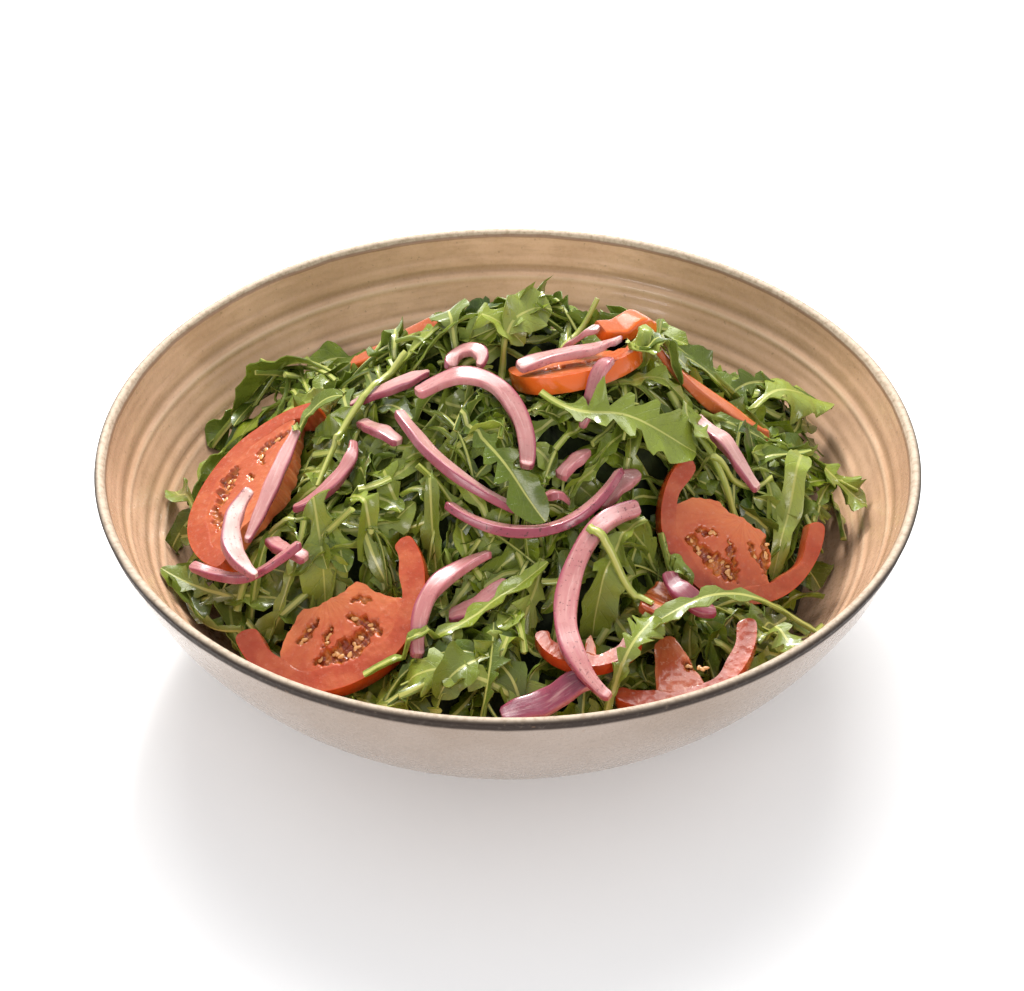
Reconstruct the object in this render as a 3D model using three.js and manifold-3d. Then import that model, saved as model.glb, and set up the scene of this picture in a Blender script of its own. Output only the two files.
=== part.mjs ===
// A wide stoneware bowl filled with a rocket salad: tomato slices and strips of red onion lie among
// the leaves. Millimetres, +Z up, origin at the middle of the foot's underside. Seen from the front
// (looking along +Y), +X is to the right.
import * as THREE from "three";
import { mergeVertices } from "three/addons/utils/BufferGeometryUtils.js";
import Module from "manifold-3d";

// ---- driving dimensions -------------------------------------------------------------------------

const BOWL = {
  radius: 130, // outside, at the rim
  height: 80,
  footRadius: 47,
  footWidth: 5,
  footHeight: 3,
  recess: 2, // height of the hollow inside the foot ring
  lipRadius: 2.3, // half the thickness of the rounded lip
  floor: 8, // height of the inside at the middle
  segments: 44,
};
const GAP = 0.35; // between pieces that touch
const HEAP = {
  edge: 46, // height of the salad where it meets the wall
  peak: 107,
  centre: [4, 3],
  reach: [111, 92], // half width and half depth of the mound
  power: 1.5,
  top: 121, // the most that a leaf reaches
};
// Where bunches of leaves lift the mound's outline.
const SHOULDERS = [
  { at: [90, 40], height: 11, spread: 14 },
  { at: [-78, 42], height: 11, spread: 14 },
  { at: [-8, 26], height: 6, spread: 18 },
  { at: [42, 22], height: 12, spread: 13 },
  { at: [4, -90], height: 9, spread: 14 },
];
const WALL_CLEARANCE = 1.2; // of a topping to the faceted wall

const degrees = THREE.MathUtils.degToRad;
const clamp = THREE.MathUtils.clamp;
const smooth = THREE.MathUtils.smoothstep;

// ---- where the toppings lie ----------------------------------------------------------------------
// at: place seen from above. heading: direction from above, in degrees from +X. bend: how far the
// heading turns from end to end.

// A slice also has the height of its upper face's centre, its tilt and the way it faces, and angles
// within its own plane: the arc of the ring, the part of it that flesh fills, and the seed pockets,
// each an angle and a distance from the centre.
const SLICES = [
  {
    name: "tomato_slice_front_right", at: [45.5, -69.5], height: 60, radius: 28, thickness: 6.5, tilt: 14,
    facing: 250, ring: [236, 364], flesh: [262, 300], wall: 5.5, pockets: [],
  },
  {
    name: "tomato_slice_low", at: [24, -71.5], height: 65, radius: 17.5, thickness: 5, tilt: 8,
    facing: 270, ring: [196, 335], flesh: [262, 278], wall: 5, pockets: [],
  },
  {
    name: "tomato_slice_front_left", at: [-54.3, -59.3], height: 64.5, radius: 30.8, thickness: 7, tilt: 29,
    facing: 244, ring: [198, 392], flesh: [232, 350], wall: 7, pockets: [[262, 20], [296, 17], [330, 14]],
  },
  {
    name: "tomato_slice_right", at: [72, -36], height: 74.5, radius: 26.5, thickness: 6.5, tilt: 45,
    facing: 288, ring: [138, 364], flesh: [174, 298], wall: 5.2, pockets: [[208, 16], [240, 15], [270, 15]],
  },
  {
    name: "tomato_slice_left", at: [-71.5, -22.5], height: 78, radius: 33.5, thickness: 7, tilt: 30,
    facing: 190, ring: [66, 236], flesh: [80, 226], wall: 6.5, pockets: [[112, 20], [150, 20], [196, 20]],
  },
  {
    name: "tomato_slice_top", at: [20.5, 5], height: 107, radius: 21, thickness: 6, tilt: 22,
    facing: 125, ring: [178, 362], flesh: [186, 354], wall: 4.5, pockets: [[235, 11], [300, 11]],
  },
];
const TOMATO_STRIPS = [
  { name: "tomato_strip_top", at: [37.5, 18], heading: 42, length: 25, bend: 6, width: 7, thickness: 6.5 },
  { name: "tomato_strip_back_right", at: [62.5, 6.5], heading: 11, length: 44, bend: -4, width: 7, thickness: 6 },
  { name: "tomato_strip_back_left", at: [-34, 38], heading: -20, length: 40, bend: 12, width: 6, thickness: 6 },
  { name: "tomato_core_piece", at: [45.7, -64.3], heading: 68, length: 17.8, bend: 0, width: 11, thickness: 5 },
];
const ONION_STRIPS = [
  { name: "onion_skin_petal", at: [11.3, -97], heading: 12, length: 27, bend: -12, width: 8, thickness: 2.6 },
  { name: "onion_under_slice", at: [52.9, -64.5], heading: -37, length: 18.3, bend: 78, width: 6, thickness: 3 },
  { name: "onion_broad_middle", at: [33.4, -35.9], heading: 36, length: 15, bend: -17, width: 6, thickness: 3 },
  { name: "onion_dark_middle", at: [14.8, -41.6], heading: 8, length: 7.7, bend: -11, width: 4, thickness: 3 },
  { name: "onion_short_middle", at: [19.9, -33.3], heading: 42, length: 12.2, bend: -10, width: 4.5, thickness: 3 },
  { name: "onion_behind_core", at: [26.4, -18.6], heading: 47, length: 13.5, bend: -19, width: 4.5, thickness: 3 },
  { name: "onion_front_petal", at: [-8.1, -66.5], heading: 20, length: 18.7, bend: 43, width: 6, thickness: 3 },
  { name: "onion_front_arc", at: [-21.3, -64.7], heading: -127, length: 39.2, bend: 90, width: 5, thickness: 3.4 },
  { name: "onion_left_stub", at: [-66.9, -47.8], heading: -49, length: 18.4, bend: 30, width: 4.5, thickness: 3 },
  { name: "onion_thin_crescent", at: [-78.8, -56.5], heading: -7, length: 36, bend: 64, width: 4.2, thickness: 3 },
  { name: "onion_right_straight", at: [67, -15.5], heading: -50, length: 28, bend: 24, width: 4.6, thickness: 3.2 },
  { name: "onion_inner_left", at: [-72, -26.4], heading: -108, length: 40.6, bend: -3, width: 4.2, thickness: 3.2 },
  { name: "onion_outer_left", at: [-82.9, -47.2], heading: -82, length: 35.2, bend: 94, width: 5.4, thickness: 3.4 },
  { name: "onion_hook", at: [-52, -26], heading: -133, length: 30, bend: -110, width: 4.2, thickness: 3.2 },
  { name: "onion_cluster_low", at: [-39.9, -14.2], heading: -53, length: 21.1, bend: 14, width: 5, thickness: 3 },
  { name: "onion_cluster_high", at: [-37, 0.2], heading: -10, length: 25.7, bend: 15, width: 5, thickness: 3.2 },
  { name: "onion_small_loop", at: [-11.8, 3.7], heading: -11, length: 19.9, bend: -236, width: 4.2, thickness: 3 },
  { name: "onion_crescent", at: [9.6, -51.9], heading: 7, length: 60.6, bend: 106, width: 4.4, thickness: 3.4 },
  { name: "onion_long_front", at: [17.2, -71.5], heading: -100, length: 71, bend: 120, width: 6, thickness: 3.4 },
  { name: "onion_diagonal", at: [-18.7, -33], heading: -42, length: 51.1, bend: 49, width: 4.2, thickness: 3.4 },
  { name: "onion_arch", at: [-3.3, -13.3], heading: -37, length: 51.9, bend: -128, width: 5.5, thickness: 3.4 },
  { name: "onion_broad_top", at: [18.7, -2.9], heading: -5, length: 32.6, bend: -74, width: 6, thickness: 3.2 },
  { name: "onion_pale_top", at: [21.5, 7], heading: -33, length: 15, bend: 0, width: 4.6, thickness: 3 },
];

// ---- the leaves that show most, and the rule for the rest ----------------------------------------
// rise: how far the middle stands off the mound. tip: the same for the tip.

const LEAVES = [
  { at: [-48, -5], heading: -126, length: 46, width: 2.4, bend: 36, rise: 6, tip: 3 },
  { at: [-16, -2], heading: 8, length: 42, width: 15, bend: 10, rise: 7, tip: 5 },
  { at: [-2, -34], heading: -52, length: 44, width: 15, bend: 14, rise: 5, tip: 2 },
  { at: [-22, -46], heading: -83, length: 36, width: 8, bend: 6, rise: 5, tip: 2 },
  { at: [38, -29], heading: 12, length: 44, width: 20, bend: 50, rise: 5, tip: 5 },
  { at: [48, -9], heading: 12, length: 36, width: 14, bend: 40, rise: 6, tip: 4 },
  { at: [91, 32], heading: 38, length: 38, width: 22, bend: -20, rise: 6, tip: 6 },
  { at: [88, 12], heading: -8, length: 34, width: 16, bend: -24, rise: 5, tip: 3 },
  { at: [89, -20], heading: -107, length: 46, width: 8, bend: -10, rise: 6, tip: 1 },
  { at: [102, -2], heading: -30, length: 28, width: 15, bend: 60, rise: 4, tip: 4 },
  { at: [-18, -90], heading: 176, length: 40, width: 17, bend: 12, rise: 5, tip: 3 },
  { at: [-14, -74], heading: 26, length: 60, width: 7, bend: 16, rise: 6, tip: 4 },
  { at: [66, -66], heading: -160, length: 62, width: 7, bend: 18, rise: 9, tip: 2 },
  { at: [69, -23], heading: 6, length: 30, width: 2.4, bend: 24, rise: 5, tip: 2 },
  { at: [29, -60], heading: -18, length: 32, width: 2.4, bend: -4, rise: 5, tip: 3 },
  { at: [-73, 44], heading: 166, length: 40, width: 20, bend: 40, rise: 6, tip: 5 },
  { at: [-104, -2], heading: 118, length: 27, width: 11, bend: -10, rise: 3, tip: 5 },
  { at: [-94, -41], heading: 148, length: 32, width: 9, bend: 20, rise: 4, tip: 3 },
  { at: [-58, 8], heading: -80, length: 30, width: 12, bend: -70, rise: 6, tip: 4 },
  { at: [-58, -40], heading: -70, length: 34, width: 16, bend: -40, rise: 5, tip: 2 },
  { at: [-40, -46], heading: -62, length: 36, width: 16, bend: -20, rise: 5, tip: 2 },
  { at: [36, -54], heading: 46, length: 34, width: 16, bend: 14, rise: 4, tip: 3 },
  { at: [1, -78], heading: 74, length: 26, width: 13, bend: 50, rise: 5, tip: 5 },
  { at: [-12, -88], heading: -140, length: 24, width: 14, bend: 36, rise: 4, tip: 3 },
  { at: [80, -74], heading: -60, length: 26, width: 12, bend: -40, rise: 4, tip: 1 },
  { at: [36, -84], heading: 54, length: 24, width: 12, bend: 6, rise: 5, tip: 3 },
  { at: [-18, 14], heading: 100, length: 30, width: 13, bend: -40, rise: 5, tip: 7 },
  { at: [2, 16], heading: 60, length: 34, width: 15, bend: -60, rise: 5, tip: 5 },
  { at: [-36, 26], heading: 96, length: 26, width: 9, bend: 20, rise: 7, tip: 12 },
  { at: [20, 22], heading: 60, length: 20, width: 2.6, bend: 0, rise: 4, tip: 7 },
];
const FILLER_LEAVES = 20;
const FILLER_PLACES = 61; // places on a spiral over the mound, tried in turn
const FILLER_STRIDE = 23; // places skipped from one try to the next
const FILLER_SEED = 11;
const LEAF_THICKNESS = 0.9;
const LEAF_STEPS = 6;
const LEAF_ROOT = 2.5; // how deep the stalk's end lies in the core
const LEAF_SAG = 1.5; // the most that a station sags below the line through its neighbours
const STRIP_STEPS = 10;
const STRIP_SAG = 0.45; // the most that a station sags below the line through its neighbours
const STRIP_END_SAG = 2.2;
const STRIP_LIFT = 0.4; // by which a strip that still touches something is raised
const BANK_REACH = 4; // half the width over which the slope under a strip is taken
const BED_SLOPE = 1.3; // of the heap where it falls away round a slice
const BANK_SLOPE = 2.6; // of the heap where it rises beside a slice that is pressed into it
const BED_ROOM = 30; // height kept clear of the core over a slice's underside

// ---- surfaces that pieces rest on ----------------------------------------------------------------

// The wall's curves are superellipse arcs from the floor to the rim.
const OUTSIDE = { rise: 1.4, round: 3.1 };

function bowlOutside(z) {
  const depth = (1 - z / BOWL.height) ** OUTSIDE.rise;
  return BOWL.radius * (1 - depth) ** (1 / OUTSIDE.round);
}

const INNER_RADIUS = BOWL.radius - 2 * BOWL.lipRadius;

function bowlInside(r) {
  const share = Math.min(r / INNER_RADIUS, 1) ** OUTSIDE.round;
  return BOWL.floor + (BOWL.height - BOWL.floor) * (1 - (1 - share) ** (1 / OUTSIDE.rise));
}

function mound(x, y) {
  const rho = Math.hypot((x - HEAP.centre[0]) / HEAP.reach[0], (y - HEAP.centre[1]) / HEAP.reach[1]);
  let z = HEAP.edge + (HEAP.peak - HEAP.edge) * Math.max(0, 1 - rho * rho) ** HEAP.power;
  for (const { at, height, spread } of SHOULDERS) {
    const d2 = (x - at[0]) ** 2 + (y - at[1]) ** 2;
    z += height * Math.exp(-d2 / (2 * spread * spread));
  }
  return z;
}

// The plane of a slice, a distance down from its upper face: its height over a point, and how far
// within the plane that point is from the slice's centre.
function slicePlane({ at, height, tilt, facing }, down, x, y) {
  const lean = Math.sin(degrees(tilt));
  const normal = [lean * Math.cos(degrees(facing)), lean * Math.sin(degrees(facing)), Math.cos(degrees(tilt))];
  const [dx, dy] = [x - at[0] + normal[0] * down, y - at[1] + normal[1] * down];
  const drop = (normal[0] * dx + normal[1] * dy) / normal[2];
  return { z: height - normal[2] * down - drop, distance: Math.hypot(dx, dy, drop) };
}

// The mound with a bed pressed into it, or built up, under each slice.
function heapTop(x, y) {
  let top = mound(x, y);
  for (const slice of SLICES) {
    const { z, distance } = slicePlane(slice, slice.thickness + GAP, x, y);
    const low = z - BED_SLOPE * Math.max(0, distance - slice.radius + 2);
    const high = z + BANK_SLOPE * Math.max(0, distance - slice.radius - 1);
    top = clamp(top, low, high);
  }
  return Math.max(top, HEAP.edge);
}

// The height of everything laid so far, over a square grid on top of the bare mound.
class Pile {
  constructor() {
    this.cell = 1.5;
    this.count = Math.ceil((2 * BOWL.radius) / this.cell);
    this.tops = new Float64Array(this.count * this.count).fill(-Infinity);
  }

  index(x) {
    return clamp(Math.floor((x + BOWL.radius) / this.cell), 0, this.count - 1);
  }

  ground(x, y) {
    return Math.max(heapTop(x, y), bowlInside(Math.hypot(x, y)) + WALL_CLEARANCE);
  }

  // Highest surface within reach of a point.
  under(x, y, reach = this.cell) {
    let top = this.ground(x, y);
    for (let i = this.index(x - reach); i <= this.index(x + reach); i++)
      for (let j = this.index(y - reach); j <= this.index(y + reach); j++)
        top = Math.max(top, this.tops[i * this.count + j]);
    return top;
  }

  raise(x, y, z) {
    const k = this.index(x) * this.count + this.index(y);
    this.tops[k] = Math.max(this.tops[k], z);
  }
}

// ---- closed solids from a lattice, and their joining ----------------------------------------------

// A closed slab of steps x across cells: place(u, v, side) gives its points, with u from 0 to 1 along,
// v from -1 to 1 across, and side 1 above and -1 below. Both faces are split into triangles alike.
function slab(steps, across, place) {
  const points = [];
  const index = (i, j, side) => ((i * (across + 1) + j) * 2 + (side > 0 ? 1 : 0));
  for (let i = 0; i <= steps; i++)
    for (let j = 0; j <= across; j++)
      for (const side of [-1, 1]) points.push(...place(i / steps, (2 * j) / across - 1, side));
  const faces = [];
  const quad = (a, b, c, d) => faces.push(a, b, c, a, c, d);
  for (let i = 0; i < steps; i++)
    for (let j = 0; j < across; j++) {
      quad(index(i, j, 1), index(i + 1, j, 1), index(i + 1, j + 1, 1), index(i, j + 1, 1));
      const below = [index(i, j, -1), index(i + 1, j, -1), index(i + 1, j + 1, -1), index(i, j + 1, -1)];
      faces.push(below[0], below[2], below[1], below[0], below[3], below[2]);
    }
  for (let i = 0; i < steps; i++) {
    quad(index(i, 0, -1), index(i + 1, 0, -1), index(i + 1, 0, 1), index(i, 0, 1));
    quad(index(i + 1, across, -1), index(i, across, -1), index(i, across, 1), index(i + 1, across, 1));
  }
  for (let j = 0; j < across; j++) {
    quad(index(0, j + 1, -1), index(0, j, -1), index(0, j, 1), index(0, j + 1, 1));
    quad(index(steps, j, -1), index(steps, j + 1, -1), index(steps, j + 1, 1), index(steps, j, 1));
  }
  const geometry = new THREE.BufferGeometry();
  geometry.setAttribute("position", new THREE.Float32BufferAttribute(points, 3));
  geometry.setIndex(faces);
  return geometry;
}

const wasm = await Module();
wasm.setup();

function toSolid(geometry) {
  const bare = geometry.clone();
  bare.deleteAttribute("normal");
  bare.deleteAttribute("uv");
  const merged = mergeVertices(bare, 1e-3);
  return new wasm.Manifold(
    new wasm.Mesh({
      numProp: 3,
      vertProperties: merged.attributes.position.array,
      triVerts: new Uint32Array(merged.index.array),
    }),
  );
}

function toGeometry(solid) {
  const mesh = solid.getMesh();
  const geometry = new THREE.BufferGeometry();
  geometry.setAttribute("position", new THREE.Float32BufferAttribute(mesh.vertProperties, 3));
  geometry.setIndex(new THREE.Uint32BufferAttribute(mesh.triVerts, 1));
  geometry.computeVertexNormals();
  return geometry;
}

// ---- the bowl --------------------------------------------------------------------------------------

// A LatheGeometry turns its profile about Y, so the solid is laid over to stand on Z.
function turned(profile) {
  const points = profile.map(([r, z]) => new THREE.Vector2(r, z));
  return new THREE.LatheGeometry(points, BOWL.segments).rotateX(Math.PI / 2);
}

const WALL_STEPS = 9;

// Inside radii, closer together where the wall steepens.
function insideRadii() {
  const radii = [];
  for (let i = 1; i <= WALL_STEPS; i++) radii.push(INNER_RADIUS * Math.sin((i / WALL_STEPS) * (Math.PI / 2)) ** 0.8);
  return radii;
}

function bowlProfile() {
  const { footRadius, footWidth, footHeight, recess, lipRadius, height, floor } = BOWL;
  const foot = [
    [0, recess],
    [footRadius - footWidth - 1, recess],
    [footRadius - footWidth, 0],
    [footRadius, 0],
    [footRadius + 0.5, footHeight - 0.4],
  ];
  const outside = [];
  const lipHeight = height - lipRadius;
  for (let i = 0; i <= WALL_STEPS; i++) {
    const z = footHeight + (lipHeight - footHeight) * (i / WALL_STEPS) ** 1.5;
    outside.push([bowlOutside(z), z]);
  }
  const lip = [];
  for (const angle of [35, 70, 110, 145]) {
    const r = BOWL.radius - lipRadius + lipRadius * Math.cos(degrees(angle));
    lip.push([r, lipHeight + lipRadius * Math.sin(degrees(angle))]);
  }
  const inside = insideRadii().map((r) => [r, Math.min(bowlInside(r), lipHeight)]);
  return [...foot, ...outside, ...lip, ...inside.reverse(), [0, floor]];
}

// ---- the heap of leaves ---------------------------------------------------------------------------

// The core fills the bowl from the floor to the mound's top, just clear of the glaze.
function heapCore() {
  const bottom = [[0, BOWL.floor + 2 * GAP]];
  for (const r of insideRadii()) {
    const z = bowlInside(r) + 2 * GAP;
    if (z < HEAP.edge) bottom.push([r - GAP, z]);
  }
  const edge = bottom[bottom.length - 1][0];
  const rings = 9;
  const top = [];
  for (let i = rings - 1; i >= 0; i--) top.push([(edge * i) / rings, HEAP.edge]);
  const geometry = turned([...bottom, [edge, HEAP.edge], ...top]);
  const place = geometry.attributes.position;
  for (let i = 0; i < place.count; i++)
    if (place.getZ(i) > HEAP.edge - 1e-3) place.setZ(i, heapTop(place.getX(i), place.getY(i)));
  let core = toSolid(geometry);
  for (const slice of SLICES) {
    const room = new THREE.CylinderGeometry(slice.radius + GAP, slice.radius + GAP, BED_ROOM, 24);
    room.rotateX(Math.PI / 2).translate(0, 0, BED_ROOM / 2 - slice.thickness - GAP);
    core = core.subtract(toSolid(room.applyMatrix4(slicePose(slice))));
  }
  return core;
}

// Points of a piece's middle line seen from above, evenly spaced about its middle.
function middleLine({ at, heading, length, bend }, steps) {
  const points = [[0, 0]];
  const step = length / steps;
  for (let i = 0; i < steps; i++) {
    const angle = degrees(heading + bend * ((i + 0.5) / steps - 0.5));
    const [x, y] = points[i];
    points.push([x + step * Math.cos(angle), y + step * Math.sin(angle)]);
  }
  const middle = points[Math.round(steps / 2)];
  return points.map(([x, y], i) => {
    const angle = degrees(heading + bend * (i / steps - 0.5));
    return { x: x - middle[0] + at[0], y: y - middle[1] + at[1], side: [-Math.sin(angle), Math.cos(angle)] };
  });
}

// Half width of a leaf: a thin stalk, then a blade with rounded lobes.
function leafHalfWidth(u, width) {
  const stalk = Math.min(1.2, width / 2);
  const blade = Math.sin(Math.PI * clamp((u - 0.16) / 0.88, 0, 1)) ** 0.7;
  const lobes = 0.82 + 0.3 * Math.cos(6 * Math.PI * u);
  return Math.max(stalk, (width / 2) * blade * lobes);
}

// A leaf starts inside the core, rises over what is under its middle line, and follows the slope with
// its edges curled up a little.
function leafSolid(spec, pile, lift) {
  const line = middleLine(spec, LEAF_STEPS);
  const halves = line.map((_, i) => leafHalfWidth(i / LEAF_STEPS, spec.width));
  const heights = line.map(({ x, y }, i) => {
    const u = i / LEAF_STEPS;
    const off = spec.rise * smooth(u, 0, 0.3) - (spec.rise - spec.tip) * smooth(u, 0.6, 1);
    return Math.max(pile.ground(x, y) + off, pile.under(x, y, 1 + 0.7 * halves[i]) + 0.8) + lift;
  });
  heights[0] = pile.ground(line[0].x, line[0].y) - LEAF_ROOT;
  for (let round = 0; round < 30; round++)
    for (let i = 1; i < LEAF_STEPS; i++)
      heights[i] = Math.max(heights[i], (heights[i - 1] + heights[i + 1]) / 2 - LEAF_SAG);
  const banks = line.map(({ x, y, side }, i) => {
    const reach = Math.max(halves[i], 3);
    const left = pile.ground(x + side[0] * reach, y + side[1] * reach);
    const right = pile.ground(x - side[0] * reach, y - side[1] * reach);
    return clamp((left - right) / (2 * reach), -1, 1);
  });
  return slab(LEAF_STEPS, spec.width > 3 ? 2 : 1, (u, v, face) => {
    const i = Math.round(u * LEAF_STEPS);
    const { x, y, side } = line[i];
    const out = v * halves[i];
    const [px, py] = [x + side[0] * out, y + side[1] * out];
    const curl = 0.3 * Math.abs(out) + 0.9 * v * Math.sin(3 * Math.PI * u);
    const wall = bowlInside(Math.hypot(px, py)) + WALL_CLEARANCE;
    return [px, py, Math.max(heights[i] + banks[i] * out + curl, wall) + (face * LEAF_THICKNESS) / 2];
  });
}

// A repeatable random number from 0 to 1.
function randomFrom(seed) {
  let state = seed;
  return () => {
    state = (Math.imul(state, 1664525) + 1013904223) >>> 0;
    return state / 2 ** 32;
  };
}

// Leaves at the places of a golden-angle spiral, so that they cover the mound evenly.
function fillerLeaves() {
  const random = randomFrom(FILLER_SEED);
  const golden = 137.508;
  const leaves = [];
  for (let i = 0; i < FILLER_PLACES; i++) {
    const place = (i * FILLER_STRIDE) % FILLER_PLACES;
    const share = Math.sqrt((place + 0.5) / FILLER_PLACES);
    const angle = degrees(place * golden);
    leaves.push({
      at: [100 * share * Math.cos(angle), 100 * share * Math.sin(angle)],
      heading: random() * 360,
      length: 28 + 14 * random(),
      width: 10 + 6 * random(),
      bend: 80 * (random() - 0.5),
      rise: 3 + 3 * random(),
      tip: 1 + 4 * random(),
    });
  }
  return leaves;
}

// The first way of laying a leaf that keeps clear of the toppings and the bowl and below the heap's
// top: as it is, raised or shortened. Nothing, where none does.
function clearLeaf(spec, pile, obstacles) {
  for (const [lift, share] of [[0, 1], [2, 1], [4, 1], [1, 0.7], [3, 0.6]]) {
    const shorter = { ...spec, length: spec.length * share, width: spec.width * Math.sqrt(share) };
    const leaf = toSolid(leafSolid(shorter, pile, lift));
    const low = leaf.boundingBox().max[2] < HEAP.top;
    if (low && obstacles.every((other) => leaf.intersect(other).isEmpty())) return leaf;
  }
}

// The core with its leaves, as one solid without loose scraps or sealed hollows.
function saladHeap(core, pile, obstacles) {
  const leaves = LEAVES.map((spec) => clearLeaf(spec, pile, obstacles)).filter(Boolean);
  const wanted = leaves.length + FILLER_LEAVES;
  for (const spec of fillerLeaves()) {
    const leaf = leaves.length < wanted && clearLeaf(spec, pile, obstacles);
    if (leaf) leaves.push(leaf);
  }
  const heap = wasm.Manifold.union([core, ...leaves]).simplify(0.05);
  return heap.decompose().reduce((a, b) => (a.volume() > b.volume() ? a : b));
}

// ---- toppings -------------------------------------------------------------------------------------

// A strip lies along the pile: it rests on what is under it, banked with the slope, and being stiff
// it bridges the dips. Its ends are a little rounded.
function layStrip(spec, pile, lift) {
  const { width, thickness } = spec;
  const line = middleLine(spec, STRIP_STEPS);
  const banks = line.map(({ x, y, side }) => {
    const left = pile.ground(x + side[0] * BANK_REACH, y + side[1] * BANK_REACH);
    const right = pile.ground(x - side[0] * BANK_REACH, y - side[1] * BANK_REACH);
    return clamp(Math.atan2(left - right, 2 * BANK_REACH), -0.9, 0.9);
  });
  const section = (i, v, up) => {
    const { x, y, side } = line[i];
    const out = (v * width * Math.cos(banks[i])) / 2 - up * Math.sin(banks[i]);
    return [x + side[0] * out, y + side[1] * out, (v * width * Math.sin(banks[i])) / 2 + up * Math.cos(banks[i])];
  };
  const rest = line.map((_, i) => {
    const gaps = [-1, -0.5, 0, 0.5, 1].map((v) => {
      const [x, y, z] = section(i, v, 0);
      return pile.under(x, y) - z;
    });
    return Math.max(...gaps) + GAP + lift;
  });
  const heights = [...rest];
  for (let round = 0; round < 60; round++)
    for (let i = 0; i <= STRIP_STEPS; i++) {
      const before = heights[Math.max(i - 1, 0)];
      const after = heights[Math.min(i + 1, STRIP_STEPS)];
      const sag = i === 0 || i === STRIP_STEPS ? STRIP_END_SAG : STRIP_SAG;
      heights[i] = Math.max(rest[i], (before + after) / 2 - sag);
    }
  return { section, heights, width, thickness };
}

function stripGeometry({ section, heights, thickness }) {
  return slab(STRIP_STEPS, 1, (u, v, face) => {
    const i = Math.round(u * STRIP_STEPS);
    const full = Math.max((1 - Math.abs(2 * u - 1) ** 10) ** 0.5, 0.55);
    const [x, y, z] = section(i, v * full, (thickness / 2) * (1 + face * full));
    return [x, y, z + heights[i]];
  });
}

function raiseUnderStrip({ section, heights, thickness }, pile) {
  const fine = 4;
  for (let i = 0; i < STRIP_STEPS; i++)
    for (let k = 0; k <= fine; k++)
      for (const v of [-1.2, -0.8, -0.4, 0, 0.4, 0.8, 1.2]) {
        const a = section(i, v, thickness);
        const b = section(i + 1, v, thickness);
        const mix = (p, q) => p + ((q - p) * k) / fine;
        pile.raise(mix(a[0], b[0]), mix(a[1], b[1]), mix(a[2] + heights[i], b[2] + heights[i + 1]));
      }
}

// Lays a strip on the pile and lifts it until it is clear of everything that is there.
function placeStrip(spec, pile, obstacles) {
  for (let lift = 0; ; lift += STRIP_LIFT) {
    const laid = layStrip(spec, pile, lift);
    const geometry = stripGeometry(laid);
    const solid = toSolid(geometry);
    if (obstacles.every((other) => solid.intersect(other).isEmpty())) {
      raiseUnderStrip(laid, pile);
      return { geometry, solid };
    }
  }
}

const polar = (angle, r) => [r * Math.cos(degrees(angle)), r * Math.sin(degrees(angle))];

// A cut slice: an arc of wall, and the flesh that still fills part of the ring.
function sliceOutline({ radius, wall, ring, flesh }) {
  const inner = radius - wall;
  const shape = new THREE.Shape();
  shape.moveTo(...polar(ring[0], radius));
  shape.absarc(0, 0, radius, degrees(ring[0]), degrees(ring[1]), false);
  shape.lineTo(...polar(ring[1], inner));
  shape.absarc(0, 0, inner, degrees(ring[1]), degrees(flesh[1]), true);
  shape.lineTo(...polar(flesh[1] + 25, radius * 0.16));
  shape.lineTo(...polar(flesh[0] - 25, radius * 0.16));
  shape.lineTo(...polar(flesh[0], inner));
  shape.absarc(0, 0, inner, degrees(flesh[0]), degrees(ring[0]), true);
  return shape;
}

const POCKET = { length: 4.5, width: 2.6, depth: 2 }; // half sizes and depth of a seed pocket

function sliceSolid(spec) {
  const options = { depth: spec.thickness, bevelEnabled: false, curveSegments: 7 };
  const body = new THREE.ExtrudeGeometry(sliceOutline(spec), options).translate(0, 0, -spec.thickness);
  let solid = toSolid(body);
  for (const [angle, distance] of spec.pockets) {
    const [x, y] = polar(angle, distance);
    const hole = new THREE.Shape();
    hole.absellipse(x, y, POCKET.length, POCKET.width, 0, 2 * Math.PI, false, degrees(angle));
    const cut = new THREE.ExtrudeGeometry(hole, { depth: POCKET.depth + 1, bevelEnabled: false, curveSegments: 4 });
    cut.translate(0, 0, -POCKET.depth);
    solid = solid.subtract(toSolid(cut));
  }
  return toGeometry(solid);
}

// From a slice's own plane, with its upper face at zero, to its place in the bowl.
function slicePose({ at, height, tilt, facing }) {
  const axis = new THREE.Vector3(-Math.sin(degrees(facing)), Math.cos(degrees(facing)), 0);
  const turn = new THREE.Quaternion().setFromAxisAngle(axis, degrees(tilt));
  return new THREE.Matrix4().compose(new THREE.Vector3(...at, height), turn, new THREE.Vector3(1, 1, 1));
}

function raiseUnderSlice(spec, pile) {
  const pose = slicePose(spec);
  for (let angle = spec.ring[0] - 4; angle <= spec.ring[1] + 4; angle += 3)
    for (let r = spec.radius + 1; r > 0; r -= 1) {
      const point = new THREE.Vector3(...polar(angle, r), 0).applyMatrix4(pose);
      pile.raise(point.x, point.y, point.z);
    }
}

// ---- materials and assembly -----------------------------------------------------------------------

function material(color, roughness) {
  return new THREE.MeshStandardMaterial({ color, roughness, metalness: 0 });
}

const salad = new THREE.Group();

function add(name, geometry, look) {
  const mesh = new THREE.Mesh(geometry, look);
  mesh.name = name;
  salad.add(mesh);
  return mesh;
}

const pile = new Pile();
const core = heapCore();
const bowl = add("bowl", turned(bowlProfile()), material(0xc9ad8c, 0.25));
const laid = [core, toSolid(bowl.geometry)];

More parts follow.
